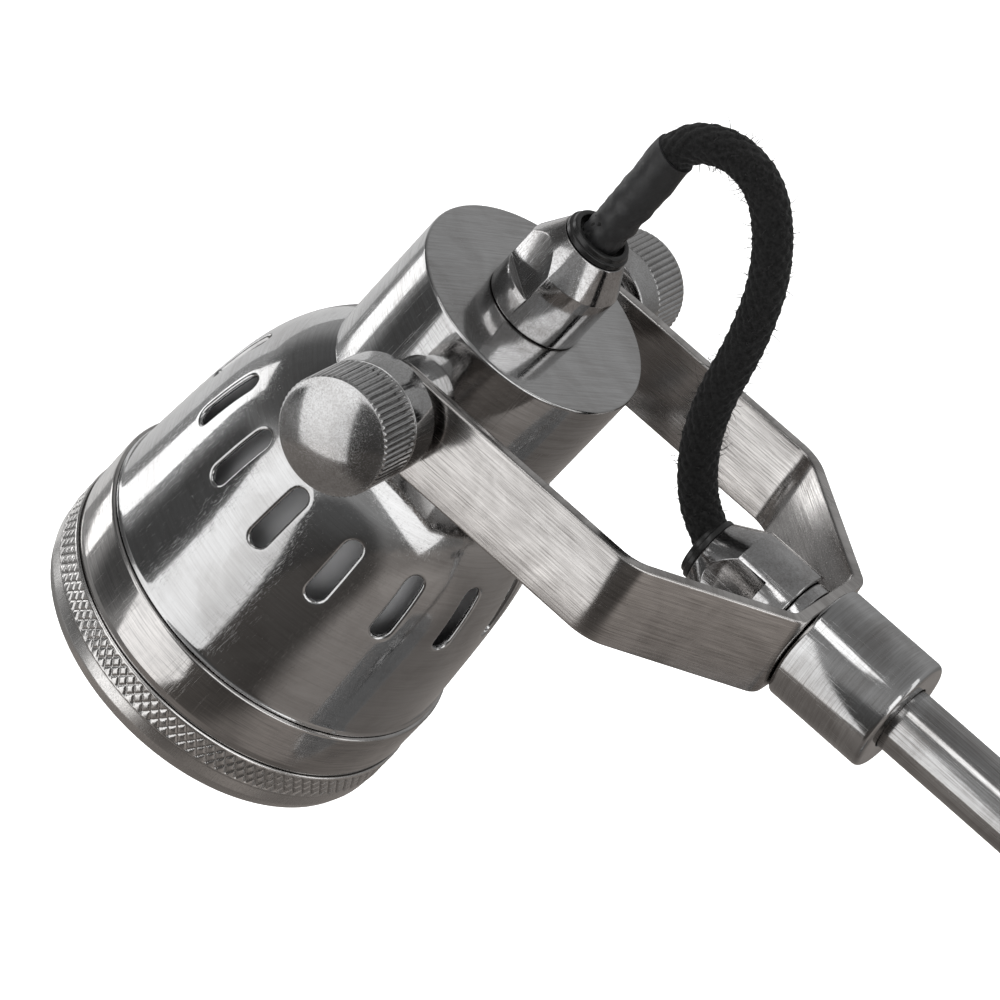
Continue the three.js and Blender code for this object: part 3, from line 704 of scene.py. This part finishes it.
def knob_bend(x, r, angle):
    """Straight knurling between the groove and the face."""
    if r < 13.0 or not KNURL_START < x < KNURL_END:
        return r
    share = min(scaled(x, KNURL_START, KNURL_START + 0.4), scaled(x, KNURL_END + 0.3, KNURL_END - 0.6))
    wave = abs(math.sin(FLUTES * angle / 2))
    return r - 0.55 * share * (1 - wave) ** 1.2


def knob(name, place, body, nodes):
    edge = KNOB_R - 0.9
    dome = 2.4
    size = (edge ** 2 + dome ** 2) / (2 * dome)
    centre = KNOB_LENGTH + dome - size
    face = []
    for i in range(1, 13):
        angle = math.asin(edge / size) * (1 - i / 12)
        face.append((centre + size * math.cos(angle), size * math.sin(angle) if i < 12 else 0.0))
    top = KNURL_END - 0.25
    ridge = [(KNURL_START + 0.2, KNOB_R), (KNURL_START + 0.45, KNOB_R), (12.0, KNOB_R), (16.0, KNOB_R),
             (top - 0.6, KNOB_R), (top - 0.3, KNOB_R), (top, KNOB_R)]
    profile = [
        (0.0, 0.0), (0.0, KNOB_R, 0.5), (KNOB_BAND, KNOB_R, 0.15), (KNOB_BAND + 0.12, KNOB_R - 0.25),
        (KNURL_START, KNOB_R - 0.2), *ridge, (KNOB_LENGTH - 0.1, KNOB_R - 0.35), (KNOB_LENGTH, edge), *face,
    ]
    return turned(name, profile, place, body, nodes, knob_metal, sides=8 * FLUTES, bend=knob_bend, sharp=40)


HEAD_KNOB_REAR = 47.3
for sign, end in ((-1, "near"), (1, "far")):
    start = HEAD + SIDE * sign * HEAD_KNOB_REAR * MM
    knob(f"head_knob_{end}_knurled", sideways(start, sign), f"head_knob_{end}", [f"head_knob_{end}"])
EAR_OUTER = 11.1
KNOB_REAR = EAR_OUTER + 2.6
for where, label in ((SHOULDER, "shoulder"), (ELBOW, "elbow")):
    start = where - SIDE * KNOB_REAR * MM
    knob(f"{label}_knob_knurled", sideways(start, -1), f"{label}_knob", [f"{label}_knob"])

# ---------------- the head's shell


def bezier(p, t):
    a, b, c, d = (Vector(q) for q in p)
    point = a * (1 - t) ** 3 + b * 3 * t * (1 - t) ** 2 + c * 3 * t * t * (1 - t) + d * t ** 3
    slope = (b - a) * 3 * (1 - t) ** 2 + (c - b) * 6 * t * (1 - t) + (d - c) * 3 * t * t
    return point, slope.normalized()


BELL = ((-18.0, 28.9), (-33.1, 43.6), (-43.5, 43.1), (-83.8, 46.3))
SHELL = 1.3
LIP_START, LIP_RISE = -82.6, 0.42
bell_curve = [bezier(BELL, i / 200) for i in range(201)]


def bell_at(x, depth=0.0):
    """Axial place and radius of the bell's surface moved inwards by depth, at axial place x."""
    for (p, s), (q, _) in zip(bell_curve, bell_curve[1:]):
        if q.x <= x <= p.x:
            t = (p.x - x) / (p.x - q.x)
            point = p.lerp(q, t)
            inward = Vector((s.y, -s.x))
            if inward.y > 0:
                inward = -inward
            lip = min(max((LIP_START - x) / 1.1, 0.0), 1.0)
            return point + inward * (depth - LIP_RISE * lip ** 2)
    return bell_curve[-1][0]


SLOT_COUNT, SLOT_CENTRE, SLOT_LENGTH, SLOT_WIDTH, SLOT_PHASE = 15, -44.0, 18.5, 4.95, -8.3
PATCH_HALF = 14.0
RIM, SINK = 0.75, 0.42  # how wide the slots' rims roll inwards, and how deep
BELL_REAR = -18.05


def slotted_bell():
    """The bell: plain rings fore and aft, and a patch round each slot whose rim rolls inwards."""
    vertices, faces = [], []
    across, along = 14, 24
    sides = SLOT_COUNT * across
    step = TAU / sides
    origin = math.radians(90 + SLOT_PHASE) - step * across / 2

    def vertex(x, angle, depth=0.0):
        point = bell_at(x, depth)
        vertices.append((point.x, point.y * math.cos(angle), point.y * math.sin(angle)))
        return len(vertices) - 1

    def plain_part(places, depth):
        rings = [[vertex(x, origin + step * k, depth) for k in range(sides)] for x in places]
        for a, b in zip(rings, rings[1:]):
            for k in range(sides):
                m = (k + 1) % sides
                faces.append([a[k], b[k], b[m], a[m]])

    front = SLOT_CENTRE - PATCH_HALF
    rear = SLOT_CENTRE + PATCH_HALF
    for depth in (0.0, SHELL):
        plain_part([BELL_REAR + (rear - BELL_REAR) * i / 14 for i in range(15)], depth)
        ahead = [front + (LIP_START - front) * i / 18 for i in range(19)]
        plain_part(ahead + [LIP_START - 0.2 * i for i in range(1, 7)], depth)
    radius = bell_at(SLOT_CENTRE).y
    half_angle = step * across / 2
    straight = (SLOT_LENGTH - SLOT_WIDTH) / 2

    def stadium(direction, grow):
        """Point on the slot's outline, grown outwards, in a direction from the slot's centre."""
        dx, dy = direction
        size = SLOT_WIDTH / 2 + grow
        low, high = 0.0, 60.0
        for _ in range(40):
            middle = (low + high) / 2
            px, py = dx * middle, dy * middle
            gap = math.hypot(max(abs(px) - straight, 0.0), py) - size
            low, high = (middle, high) if gap < 0 else (low, middle)
        return dx * low, dy * low

    border = []
    for k in range(across):
        border.append((PATCH_HALF, -half_angle + step * k))
    for k in range(along):
        border.append((PATCH_HALF - 2 * PATCH_HALF * k / along, half_angle))
    for k in range(across):
        border.append((-PATCH_HALF, half_angle - step * k))
    for k in range(along):
        border.append((-PATCH_HALF + 2 * PATCH_HALF * k / along, -half_angle))
    directions = [Vector((x, angle * radius)).normalized() for x, angle in border]
    grows = [0.0, 0.1, 0.22, 0.36, 0.54, RIM, 1.6, 3.0]
    for index in range(SLOT_COUNT):
        middle_angle = math.radians(90 + SLOT_PHASE + 360 / SLOT_COUNT * index)
        outer, inner = [], []
        for grow in grows:
            sink = SINK * (1 - grow / RIM) ** 2 if grow < RIM else 0.0
            outline = [stadium(d, grow) for d in directions]
            outer.append([vertex(SLOT_CENTRE + x, middle_angle + y / radius, sink) for x, y in outline])
            inner.append([vertex(SLOT_CENTRE + x, middle_angle + y / radius, SHELL) for x, y in outline])
        for rings, depth in ((outer, 0.0), (inner, SHELL)):
            last = [stadium(d, grows[-1]) for d in directions]
            for share in (0.5, 1.0):
                rings.append([
                    vertex(SLOT_CENTRE + x + (bx - x) * share,
                           middle_angle + (y + (angle * radius - y) * share) / radius, depth)
                    for (x, y), (bx, angle) in zip(last, border)
                ])
        wall = [outer[0], inner[0]]
        for rings in (outer, inner, wall):
            faces.extend(skin(rings))
    made = new_object("bell_shell", vertices, faces, HEAD_FRAME, bell_metal)
    with opened(made) as work:
        bmesh.ops.remove_doubles(work, verts=work.verts, dist=0.004)
        for end in (BELL_REAR, BELL[-1][0]):
            edges = [e for e in work.edges if e.is_boundary and all(abs(v.co.x - end) < 1.8 for v in e.verts)]
            bmesh.ops.bridge_loops(work, edges=edges)
    smooth(made, 50)
    return made


bell = slotted_bell()
finish_piece(bell, "head", ["bell_shade"])

CAP_R, CAP_TOP, CAP_BOTTOM = 30.0, 18.0, -18.0
turned("cap_shell", [
    (CAP_BOTTOM, CAP_R - 1.8), (CAP_BOTTOM, CAP_R, 0.35), (CAP_TOP, CAP_R, 0.7), (CAP_TOP, 5.3),
    (CAP_TOP - 2.5, 5.3), (CAP_TOP - 2.5, CAP_R - 1.8),
], HEAD_FRAME, "head", ["cap_housing"], cap_metal, sides=192)

turned("band_shell", [
    (-98.78, 45.6), (-98.78, 47.4, 0.15), (-96.6, 47.7, 0.6), (-84.15, 47.7, 0.75), (-84.0, 45.6),
], HEAD_FRAME, "head", ["shade_band"], band_metal, sides=192)

DIAMONDS = 110
DIAMOND_LENGTH = 3.9
RING_KNURL = (-105.9, -99.5)
GROOVE_HALF = 0.17  # of a groove, as a share of the pitch


def ring_bend(x, r, angle):
    """Diamond knurling: crossing grooves between slightly crowned lozenges."""
    low, high = RING_KNURL
    if r < 47.9 or not low < x < high:
        return r
    share = min(scaled(x, low, low + 0.4), scaled(x, high, high - 0.4))
    u = DIAMONDS * angle / TAU + (x - high) / DIAMOND_LENGTH
    v = DIAMONDS * angle / TAU - (x - high) / DIAMOND_LENGTH
    near = min(abs(u - round(u)), abs(v - round(v)))
    groove = max(0.0, 1 - near / GROOVE_HALF)
    crown = 0.06 * (1 - min(near * 2, 1.0))
    return r - share * (0.34 * groove + crown)


knurl_rows = [(RING_KNURL[1] + (RING_KNURL[0] - RING_KNURL[1]) * i / 44, 48.1) for i in range(45)]
turned("front_ring_knurled", [
    (-98.9, 43.6), (-98.9, 47.7, 0.25), (-99.2, 48.05), *knurl_rows, (-106.35, 48.05), (-106.5, 47.75),
    (-106.8, 47.75), (-110.0, 47.75, 2.2), (-113.4, 46.5, 1.8), (-113.4, 42.5, 0.8),
    (-112.4, 41.5, 0.3), (-109.4, 41.5), (-109.4, 43.6),
], HEAD_FRAME, "front_ring", ["front_ring"], knurl_metal, sides=DIAMONDS * 10, bend=ring_bend, sharp=60)

reflector_rows = []
for i in range(24):
    x = -95.5 + (95.5 - 27.5) * i / 23
    place_in = bell_at(max(x, -83.6), 5.5)
    reflector_rows.append((x, min(place_in.y, 42.6)))
back_rows = [(x, r - 0.8) for x, r in reversed(reflector_rows)]
bowl = turned("reflector_bowl", [
    (-97.2, 44.6), (-96.3, 44.6), (-96.3, 42.7), *reflector_rows, (-25.0, 27.5), (-25.0, 20.4), (-25.8, 20.4),
    (-25.8, 26.6), *back_rows, (-97.2, 41.8),
], HEAD_FRAME, "head", ["reflector"], liner, sides=144, sharp=50)
bowl.data.materials.append(shaded_liner_back)
# Faces on the bowl's outer back take the darker copy: painted shade.
for face in bowl.data.polygons:
    outwards = face.normal.y * face.center.y + face.normal.z * face.center.z
    face.material_index = 1 if outwards > 0 and face.center.x > -96 else 0

turned("holder_body", [
    (-30, 13.6), (-30, 18.1, 0.5), (-27, 19.6, 0.8), (1, 19.6, 1.0), (5, 12, 1.0), (5, 0), (0, 0), (0, 13.6),
], HEAD_FRAME, "head", ["lamp_holder"], porcelain, sides=96)
turned("lamp_thread", [
    (-29, 13), *[(-28 + i * 0.875, 13.0 if i % 2 else 12.6) for i in range(24)], (-3, 7, 1), (-0.5, 4),
    (-0.5, 0), (-2, 0), (-8, 12.0), (-29, 12.0),
], HEAD_FRAME, "head", ["lamp_base"], brass, sides=96)
globe_rows = []
for i in range(33):
    angle = math.radians(180 - (180 - 62) * i / 32)
    globe_rows.append((-64 + 26 * math.cos(angle), 26 * math.sin(angle) if i else 0.0))
turned("globe_bulb", [
    *globe_rows, (-40, 18, 6), (-32, 12.8, 3), (-29.3, 12.8), (-29.3, 12.0), (-33, 12.0), (-45, 0),
], HEAD_FRAME, "head", ["lamp_globe"], opal, sides=96, sharp=60)

for sign, end in ((-1, "near"), (1, "far")):
    start = sideways(HEAD, sign)
    turned(f"boss_{end}", [
        (29.5, 0), (29.5, 8.2), (41.2, 8.2, 0.5), (41.2, 4.2), (36, 4.2), (36, 0),
    ], start, "head", [f"pivot_boss_{end}"], collar_metal, sides=96)
    turned(f"knob_washer_{end}", [
        (44.9, 4.2), (44.9, 10.5, 0.3), (47.0, 10.5, 0.3), (47.0, 4.2),
    ], start, "yoke", [f"head_knob_washer_{end}"], collar_metal, sides=96)

# ---------------- glands and grommets

FLAT_DEPTH, FLAT_START, FLAT_END = 10.0, 7.1, 24.5


def gland(name, place, body, nodes, turn):
    blank = turned(name, [
        (-12, 0), (-12, 4.6), (-0.2, 4.6), (0, 5.0), (0, 12.3, 0.45), (15.4, 12.3, 0.25), (23.2, 8.3, 0.3),
        (23.2, 6.6), (15, 6.6), (15, 0),
    ], place, body, nodes, gland_metal, sides=144, own=False)
    tools = []
    for side in (-1, 1):
        low, high = sorted((side * FLAT_DEPTH, side * 16))
        across = place @ Matrix.Rotation(math.radians(turn), 4, "X")
        tools.append(block("flat_cutter", (FLAT_START, low, -14), (FLAT_END, high, 14), across, gland_metal))
    carved(blank, tools)
    smooth(blank, 24)
    eased(blank, 0.22, 24)
    return finish_piece(blank, body, nodes)


def turned_frame(place, shift, back=False):
    turn = Matrix.Rotation(math.pi, 4, "Z") if back else Matrix.Identity(4)
    return place @ Matrix.Translation((shift, 0, 0)) @ turn


def grommet(name, place, body, nodes):
    turned(name, [
        (-7, 4.8), (-7, 6.3), (0.08, 6.3), (0.08, 8.1, 0.35), (1.5, 8.1, 0.35), (1.7, 7.5, 0.1),
        (2.9, 7.3, 0.5), (2.9, 6.0, 0.4), (0.4, 5.7), (0.4, 4.8),
    ], place, body, nodes, rubber, sides=96)


# For each end: the gland's seat, its mouth, and the degrees that its flats are turned
HEAD_SEAT, HEAD_MOUTH, HEAD_GLAND_TURN = 18.08, 41.3, -36
YOKE_SEAT, YOKE_MOUTH, YOKE_GLAND_TURN = 91.85, 68.65, 9

gland("head_gland_body", turned_frame(HEAD_FRAME, HEAD_SEAT), "head", ["head_gland"], HEAD_GLAND_TURN)
grommet("head_gland_seal", turned_frame(HEAD_FRAME, HEAD_MOUTH), "head", ["head_grommet"])
gland("yoke_gland_body", turned_frame(YOKE_FRAME, YOKE_SEAT, True), "yoke", ["yoke_gland"], YOKE_GLAND_TURN)
grommet("yoke_gland_seal", turned_frame(YOKE_FRAME, YOKE_MOUTH, True), "yoke", ["yoke_grommet"])

nut = turned("lock_nut", [
    (91.95, 5.3), (91.95, 10.9, 0.5), (95.15, 10.9, 0.3), (95.15, 5.3),
], YOKE_FRAME, "yoke", ["yoke_gland_nut"], gland_metal, sides=96, own=False)
carved(nut, [block("nut_slit", (90, -14, -0.5), (97, 0, 0.5), YOKE_FRAME, gland_metal)])
smooth(nut, 30)
finish_piece(nut, "yoke", ["yoke_gland_nut"])

# ---------------- yoke strip

YOKE_HALF, STRIP, STRIP_WIDTH, YOKE_STRAIGHT, YOKE_LENGTH = 44.6, 3.05, 22.5, 66.0, 98.5
WEB_HALF, BEND_R, WEB_CORNER = 15.6, 11.0, 4.2


def bent_path(corners, radii, steps=10, spacing=3.0):
    """Points along straight runs and round bends, for a path in a plane."""
    made = []
    for i, corner in enumerate(corners):
        here = Vector(corner)
        if i in (0, len(corners) - 1):
            made.append([here])
            continue
        into = (here - Vector(corners[i - 1])).normalized()
        out = (Vector(corners[i + 1]) - here).normalized()
        turn = math.atan2(into.x * out.y - into.y * out.x, into.dot(out))
        reach = radii[i] * math.tan(abs(turn) / 2)
        start = here - into * reach
        centre = start + Vector((-into.y, into.x)) * math.copysign(radii[i], turn)
        spoke = start - centre
        bend = []
        for step in range(steps + 1):
            angle = turn * step / steps
            c, s = math.cos(angle), math.sin(angle)
            bend.append(centre + Vector((spoke.x * c - spoke.y * s, spoke.x * s + spoke.y * c)))
        made.append(bend)
    points = []
    for a, b in zip(made, made[1:]):
        points.extend(a)
        run = (b[0] - a[-1]).length
        pieces = max(1, int(run / spacing))
        points.extend(a[-1].lerp(b[0], k / pieces) for k in range(1, pieces))
    points.extend(made[-1])
    return points


def yoke_strip():
    half = STRIP_WIDTH / 2
    middle = YOKE_HALF - STRIP / 2
    web = YOKE_LENGTH - STRIP / 2
    edge = WEB_HALF - STRIP / 3
    corners = [(0, -middle), (YOKE_STRAIGHT, -middle), (web, -edge)]
    corners += [(x, -y) for x, y in reversed(corners)]
    path = bent_path(corners, [0, BEND_R, WEB_CORNER, WEB_CORNER, BEND_R, 0])
    ends = [-half * math.sin(math.radians(a)) for a in (88, 84, 78, 70, 60, 50, 40, 30, 20, 10)]
    path = [Vector((x, -middle)) for x in ends] + path + [Vector((x, middle)) for x in reversed(ends)]
    vertices, rings, runs = [], [], []
    gone = 0.0
    for i, point in enumerate(path):
        before, after = path[max(i - 1, 0)], path[min(i + 1, len(path) - 1)]
        gone += (point - before).length
        direction = (after - before).normalized()
        across = Vector((-direction.y, direction.x))
        width = math.sqrt(max(half ** 2 - min(point.x, 0.0) ** 2, 0.01))
        fillet = min(0.55, width * 0.4)
        ring = []
        for sx, sy, start in ((1, 1, 0), (-1, 1, 90), (-1, -1, 180), (1, -1, 270)):
            for k in range(5):
                angle = math.radians(start + 22.5 * k)
                t = sx * (STRIP / 2 - fillet) + fillet * math.cos(angle)
                w = sy * (width - fillet) + fillet * math.sin(angle)
                spot = point + across * t
                ring.append(len(vertices))
                vertices.append((spot.x, spot.y, w))
                runs.append(gone)
        rings.append(ring)
    faces = [*skin(rings), rings[0][::-1], rings[-1]]
    made = new_object("yoke_strip", vertices, faces, YOKE_FRAME, strip_metal, 60)
    run = made.data.attributes.new("run", "FLOAT", "POINT")
    run.data.foreach_set("value", runs)
    facing_out(made)
    return finish_piece(made, "yoke", ["yoke"])


yoke_strip()

# ---------------- collar, tubes and knuckles

turned("collar_body", [
    (98.56, 5.3), (98.56, 14.7, 1.35), (125.6, 14.7, 1.6), (125.6, 8.3, 0.3), (112.6, 8.3), (112.6, 5.3),
], YOKE_FRAME, "upper_arm", ["arm_collar"], collar_metal, sides=128)


def arm_tube(name, place, start, end, body, nodes):
    profile = [(start, 6.5), (start, 8.0, 0.2), (end, 8.0, 0.2), (end, 6.5)]
    turned(name, profile, place, body, nodes, tube_metal, sides=96)


UPPER_ARM, LOWER_ARM, TUBE_START, COLLAR_DEPTH = 380, 360, 34.3, 112.9
arm_tube("upper_tube", UPPER_FRAME, TUBE_START, UPPER_ARM - COLLAR_DEPTH, "upper_arm", ["upper_arm_tube"])
arm_tube("lower_tube", LOWER_FRAME, TUBE_START, LOWER_ARM - TUBE_START, "lower_arm", ["lower_arm_tube"])

KNUCKLE_R, REACH, KNUCKLE_END = 14.7, 24.0, 50.0


def knuckle(name, place, body, nodes, kind, end=KNUCKLE_END, bore=8.3):
    """A round bar whose end is milled to a tongue or a fork about the pivot axis."""
    blank = turned(name, [
        (-KNUCKLE_R, 0), (-KNUCKLE_R, KNUCKLE_R), (end, KNUCKLE_R, 1.6 if end == KNUCKLE_END else 0.5),
        (end, bore), (end - 12, bore), (end - 12, 0),
    ], place, body, nodes, collar_metal, sides=128, own=False)
    outline = [(KNUCKLE_END + 4, -KNUCKLE_R), (KNUCKLE_END + 4, KNUCKLE_R)]
    for k in range(49):
        angle = math.radians(90 + 180 * k / 48)
        outline.append((KNUCKLE_R * math.cos(angle), KNUCKLE_R * math.sin(angle)))
    carved(blank, [bar("round_end", outline, 20, place, collar_metal)], "INTERSECT")
    tools = []
    side_face = 4.5 if kind == "tongue" else EAR_OUTER
    for side in (-1, 1):
        low, high = sorted((side * side_face, side * 20))
        tools.append(block("flat", (-20, low, -20), (REACH - 3, high, 20), place, collar_metal))
    if kind == "fork":
        tools.append(block("slot", (-20, -6.1, -20), (REACH - 3, 6.1, 20), place, collar_metal))
    carved(blank, tools)
    crosswise = place @ Matrix.Rotation(math.pi / 2, 4, "Z")
    hole = turned("pin_hole", [(-20, 0), (-20, 4.2), (20, 4.2), (20, 0)], crosswise, body, nodes,
                  collar_metal, sides=48, own=False)
    carved(blank, [hole])
    eased(blank, 0.4, 40)
    return finish_piece(blank, body, nodes)


knuckle("lower_foot", LOWER_FRAME, "lower_arm", ["lower_arm_foot"], "tongue")
knuckle("elbow_clevis", ELBOW_FRAME, "lower_arm", ["elbow_fork"], "fork")
knuckle("upper_foot", UPPER_FRAME, "upper_arm", ["upper_arm_foot"], "tongue")
knuckle("post_clevis", POST_FRAME, "post", ["swivel_post"], "fork", end=80 - 41.9, bore=5.4)

for where, label, body in ((SHOULDER, "shoulder", "post"), (ELBOW, "elbow", "lower_arm")):
    for sign, end in ((-1, "near"), (1, "far")):
        turned(f"{label}_disc_{end}", [(4.8, 4.2), (4.8, 13.2, 0.1), (5.8, 13.2, 0.1), (5.8, 4.2)],
               sideways(where, sign), body, [f"{label}_washer_{end}"], fibre, sides=96)
    angles = [math.radians(a) for a in range(10, 90, 8)]
    cap_rows = [(8.0 * math.sin(a) + 4, 8.0 * math.cos(a)) for a in angles]
    turned(f"{label}_cap", [(0, 0), (0, 8.4, 0.3), (1, 9.0), (4, 9.0, 0.4), *cap_rows, (12, 0)],
           turned_frame(sideways(where, 1), EAR_OUTER + 0.3), body, [f"{label}_cap_nut"], gland_metal,
           sides=96)
    turned(f"{label}_collar", [(11.4, 4.2), (11.4, 10, 0.3), (13.4, 10, 0.3), (13.4, 4.2)],
           sideways(where, -1), body, [f"{label}_knob_washer"], collar_metal, sides=96)

# ---------------- base

turned("base_disc", [
    (2.3, 17), (2.3, 116, 0.4), (4.3, 118, 1.0), (27.3, 118, 8.0), (27.3, 5.4), (12, 5.4), (12, 17),
], BASE_FRAME, "base", ["base_plate"], base_metal, sides=256, steps=14)
turned("base_foot", [(0, 0), (0, 114, 0.5), (2, 114), (2, 0)], BASE_FRAME, "base", ["base_pad"],
       pad_rubber, sides=128)
turned("hub_body", [
    (27.6, 5.4), (27.6, 25, 0.3), (30.3, 25, 0.6), (31.3, 23, 1.0), (37.3, 21, 2.0), (40.3, 19, 1.6),
    (40.3, 5.4),
], BASE_FRAME, "base", ["base_hub"], base_metal, sides=160, steps=8)
turned("bearing_disc", [(40.6, 5.4), (40.6, 14, 0.2), (41.6, 14, 0.2), (41.6, 5.4)], BASE_FRAME, "base",
       ["swivel_bearing"], fibre, sides=96)
inlet = placed(Vector((118.3, 0, 10.3)) * MM, Vector((1, 0, 0)))
turned("inlet_body", [(0, 3.6), (0, 6.5, 0.3), (4, 6.5, 0.4), (8, 5, 0.4), (8, 3.6)], inlet, "base",
       ["inlet_gland"], gland_metal, sides=96)
turned("inlet_seal", [(8.3, 3.2), (8.3, 4.8, 0.3), (10, 4.8, 0.5), (14, 4, 0.5), (14, 3.2)], inlet, "base",
       ["inlet_grommet"], rubber, sides=64)

# ---------------- CAD pieces that show as they are

for node, material in (
    ("base_bolt", gland_metal), ("base_bolt_washer", gland_metal), ("shoulder_bolt", gland_metal),
    ("elbow_bolt", gland_metal), ("holder_plate", liner), ("pivot_nut_near", gland_metal),
    ("pivot_nut_far", gland_metal), ("head_stud_near", gland_metal), ("head_stud_far", gland_metal),
    ("head_gland_nut", gland_metal),
):
    piece = frame["nodes"][node]
    piece.data.materials.clear()
    piece.data.materials.append(material)

# ---------------- floor and light

floor_shader = plain("floor", (0.9, 0.9, 0.9), 0.9, Emission_Color=(1, 1, 1, 1), Emission_Strength=0.5)
bpy.ops.mesh.primitive_plane_add(size=60, location=(0, 0, -0.0005))
floor = bpy.context.object
floor.name = "floor"
floor.data.materials.append(floor_shader)
floor.visible_glossy = False

backdrop_shader = plain("backdrop", (1, 1, 1), 0.5, Emission_Color=(1, 1, 1, 1), Emission_Strength=0.6)
bpy.ops.mesh.primitive_cylinder_add(
    radius=24, depth=30, end_fill_type="NOTHING", vertices=64, location=(0, 0, 14))
backdrop = bpy.context.object
backdrop.name = "backdrop"
backdrop.data.materials.append(backdrop_shader)
for ray in ("glossy", "diffuse", "shadow"):
    setattr(backdrop, "visible_" + ray, False)


def direction(azimuth, elevation):
    """Unit vector; azimuth from +X towards +Y."""
    a, e = math.radians(azimuth), math.radians(elevation)
    return Vector((math.cos(e) * math.cos(a), math.cos(e) * math.sin(a), math.sin(e)))


def softbox(name, start, end, half_width, radiance, distance=1.6):
    """A rectangular light that faces the head. start and end are the (azimuth, elevation) of its
    middle line's ends as the head sees them, and half_width is the angle to either side of it."""
    first, last = direction(*start), direction(*end)
    way = (first + last).normalized()
    half_height = first.angle(last) / 2
    light = bpy.data.lights.new(name, "AREA")
    light.shape = "RECTANGLE"
    light.size = 2 * distance * math.tan(math.radians(half_width))
    light.size_y = 2 * distance * math.tan(half_height)
    light.energy = radiance * math.pi * light.size * light.size_y
    made = bpy.data.objects.new(name, light)
    bpy.context.collection.objects.link(made)
    long_side = (last - first).normalized()
    turn = Matrix((long_side.cross(way), long_side, way)).transposed().to_4x4()
    made.matrix_world = Matrix.Translation(HEAD + way * distance) @ turn
    made.visible_camera = False
    return made


softbox("softbox_left", (233, -27), (256, 42), 20, 1.0)
softbox("softbox_right", (345, -20), (314, 26), 14, 1.2)
softbox("softbox_top", (262, 74), (304, 44), 7, 1.6)
softbox("softbox_back", (172, 3), (176, 38), 9, 1.6)
softbox("softbox_far", (140, -14), (137, 26), 15, 0.42)
softbox("softbox_side", (18, -22), (12, 34), 9, 0.85)
softbox("overhead", (0, 50), (180, 50), 45, 3.0, 2.4).visible_glossy = False

world = bpy.data.worlds.new("studio")
bpy.context.scene.world = world
world.use_nodes = True


def surroundings(tree):
    """A dim room: brownish below, grey above, with dark gaps between the lights."""
    made = Nodes(tree)
    background = tree.nodes["Background"].inputs
    where = made.node("TexCoord").outputs["Generated"]
    height = made.span(made.split(where)["Z"], -1, 1)
    ramp = made.node("ValToRGB")
    made.link(height, ramp.inputs[0])
    tones = ramp.color_ramp.elements
    tones[0].color = (0.14, 0.128, 0.12, 1)
    tones[1].color = (0.2, 0.2, 0.2, 1)
    for at, color in (
        (0.29, (0.27, 0.25, 0.235, 1)), (0.32, (0.18, 0.175, 0.17, 1)), (0.5, (0.3, 0.3, 0.3, 1)),
        (0.75, (0.36, 0.36, 0.36, 1)),
    ):
        tones.new(at).color = color
    made.link(ramp.outputs["Color"], background["Color"])
    strength = None
    for way, wide, tight, least in (
        (direction(277, -20), 0.80, 0.90, 0.33), (direction(182, 55), 0.8, 0.95, 0.4),
        (direction(206, 13), 0.93, 0.985, 0.25), (direction(335, -58), 0.86, 0.97, 1.7),
    ):
        toward = made.node("VectorMath", operation="DOT_PRODUCT")
        made.link(where, toward.inputs[0])
        toward.inputs[1].default_value = way
        shade = made.span(toward.outputs["Value"], wide, tight, 1.0, least, smooth=True)
        strength = shade if strength is None else made.math("MULTIPLY", strength, shade)
    made.link(strength, background["Strength"])


surroundings(world.node_tree)
bpy.context.scene.view_settings.view_transform = "Standard"
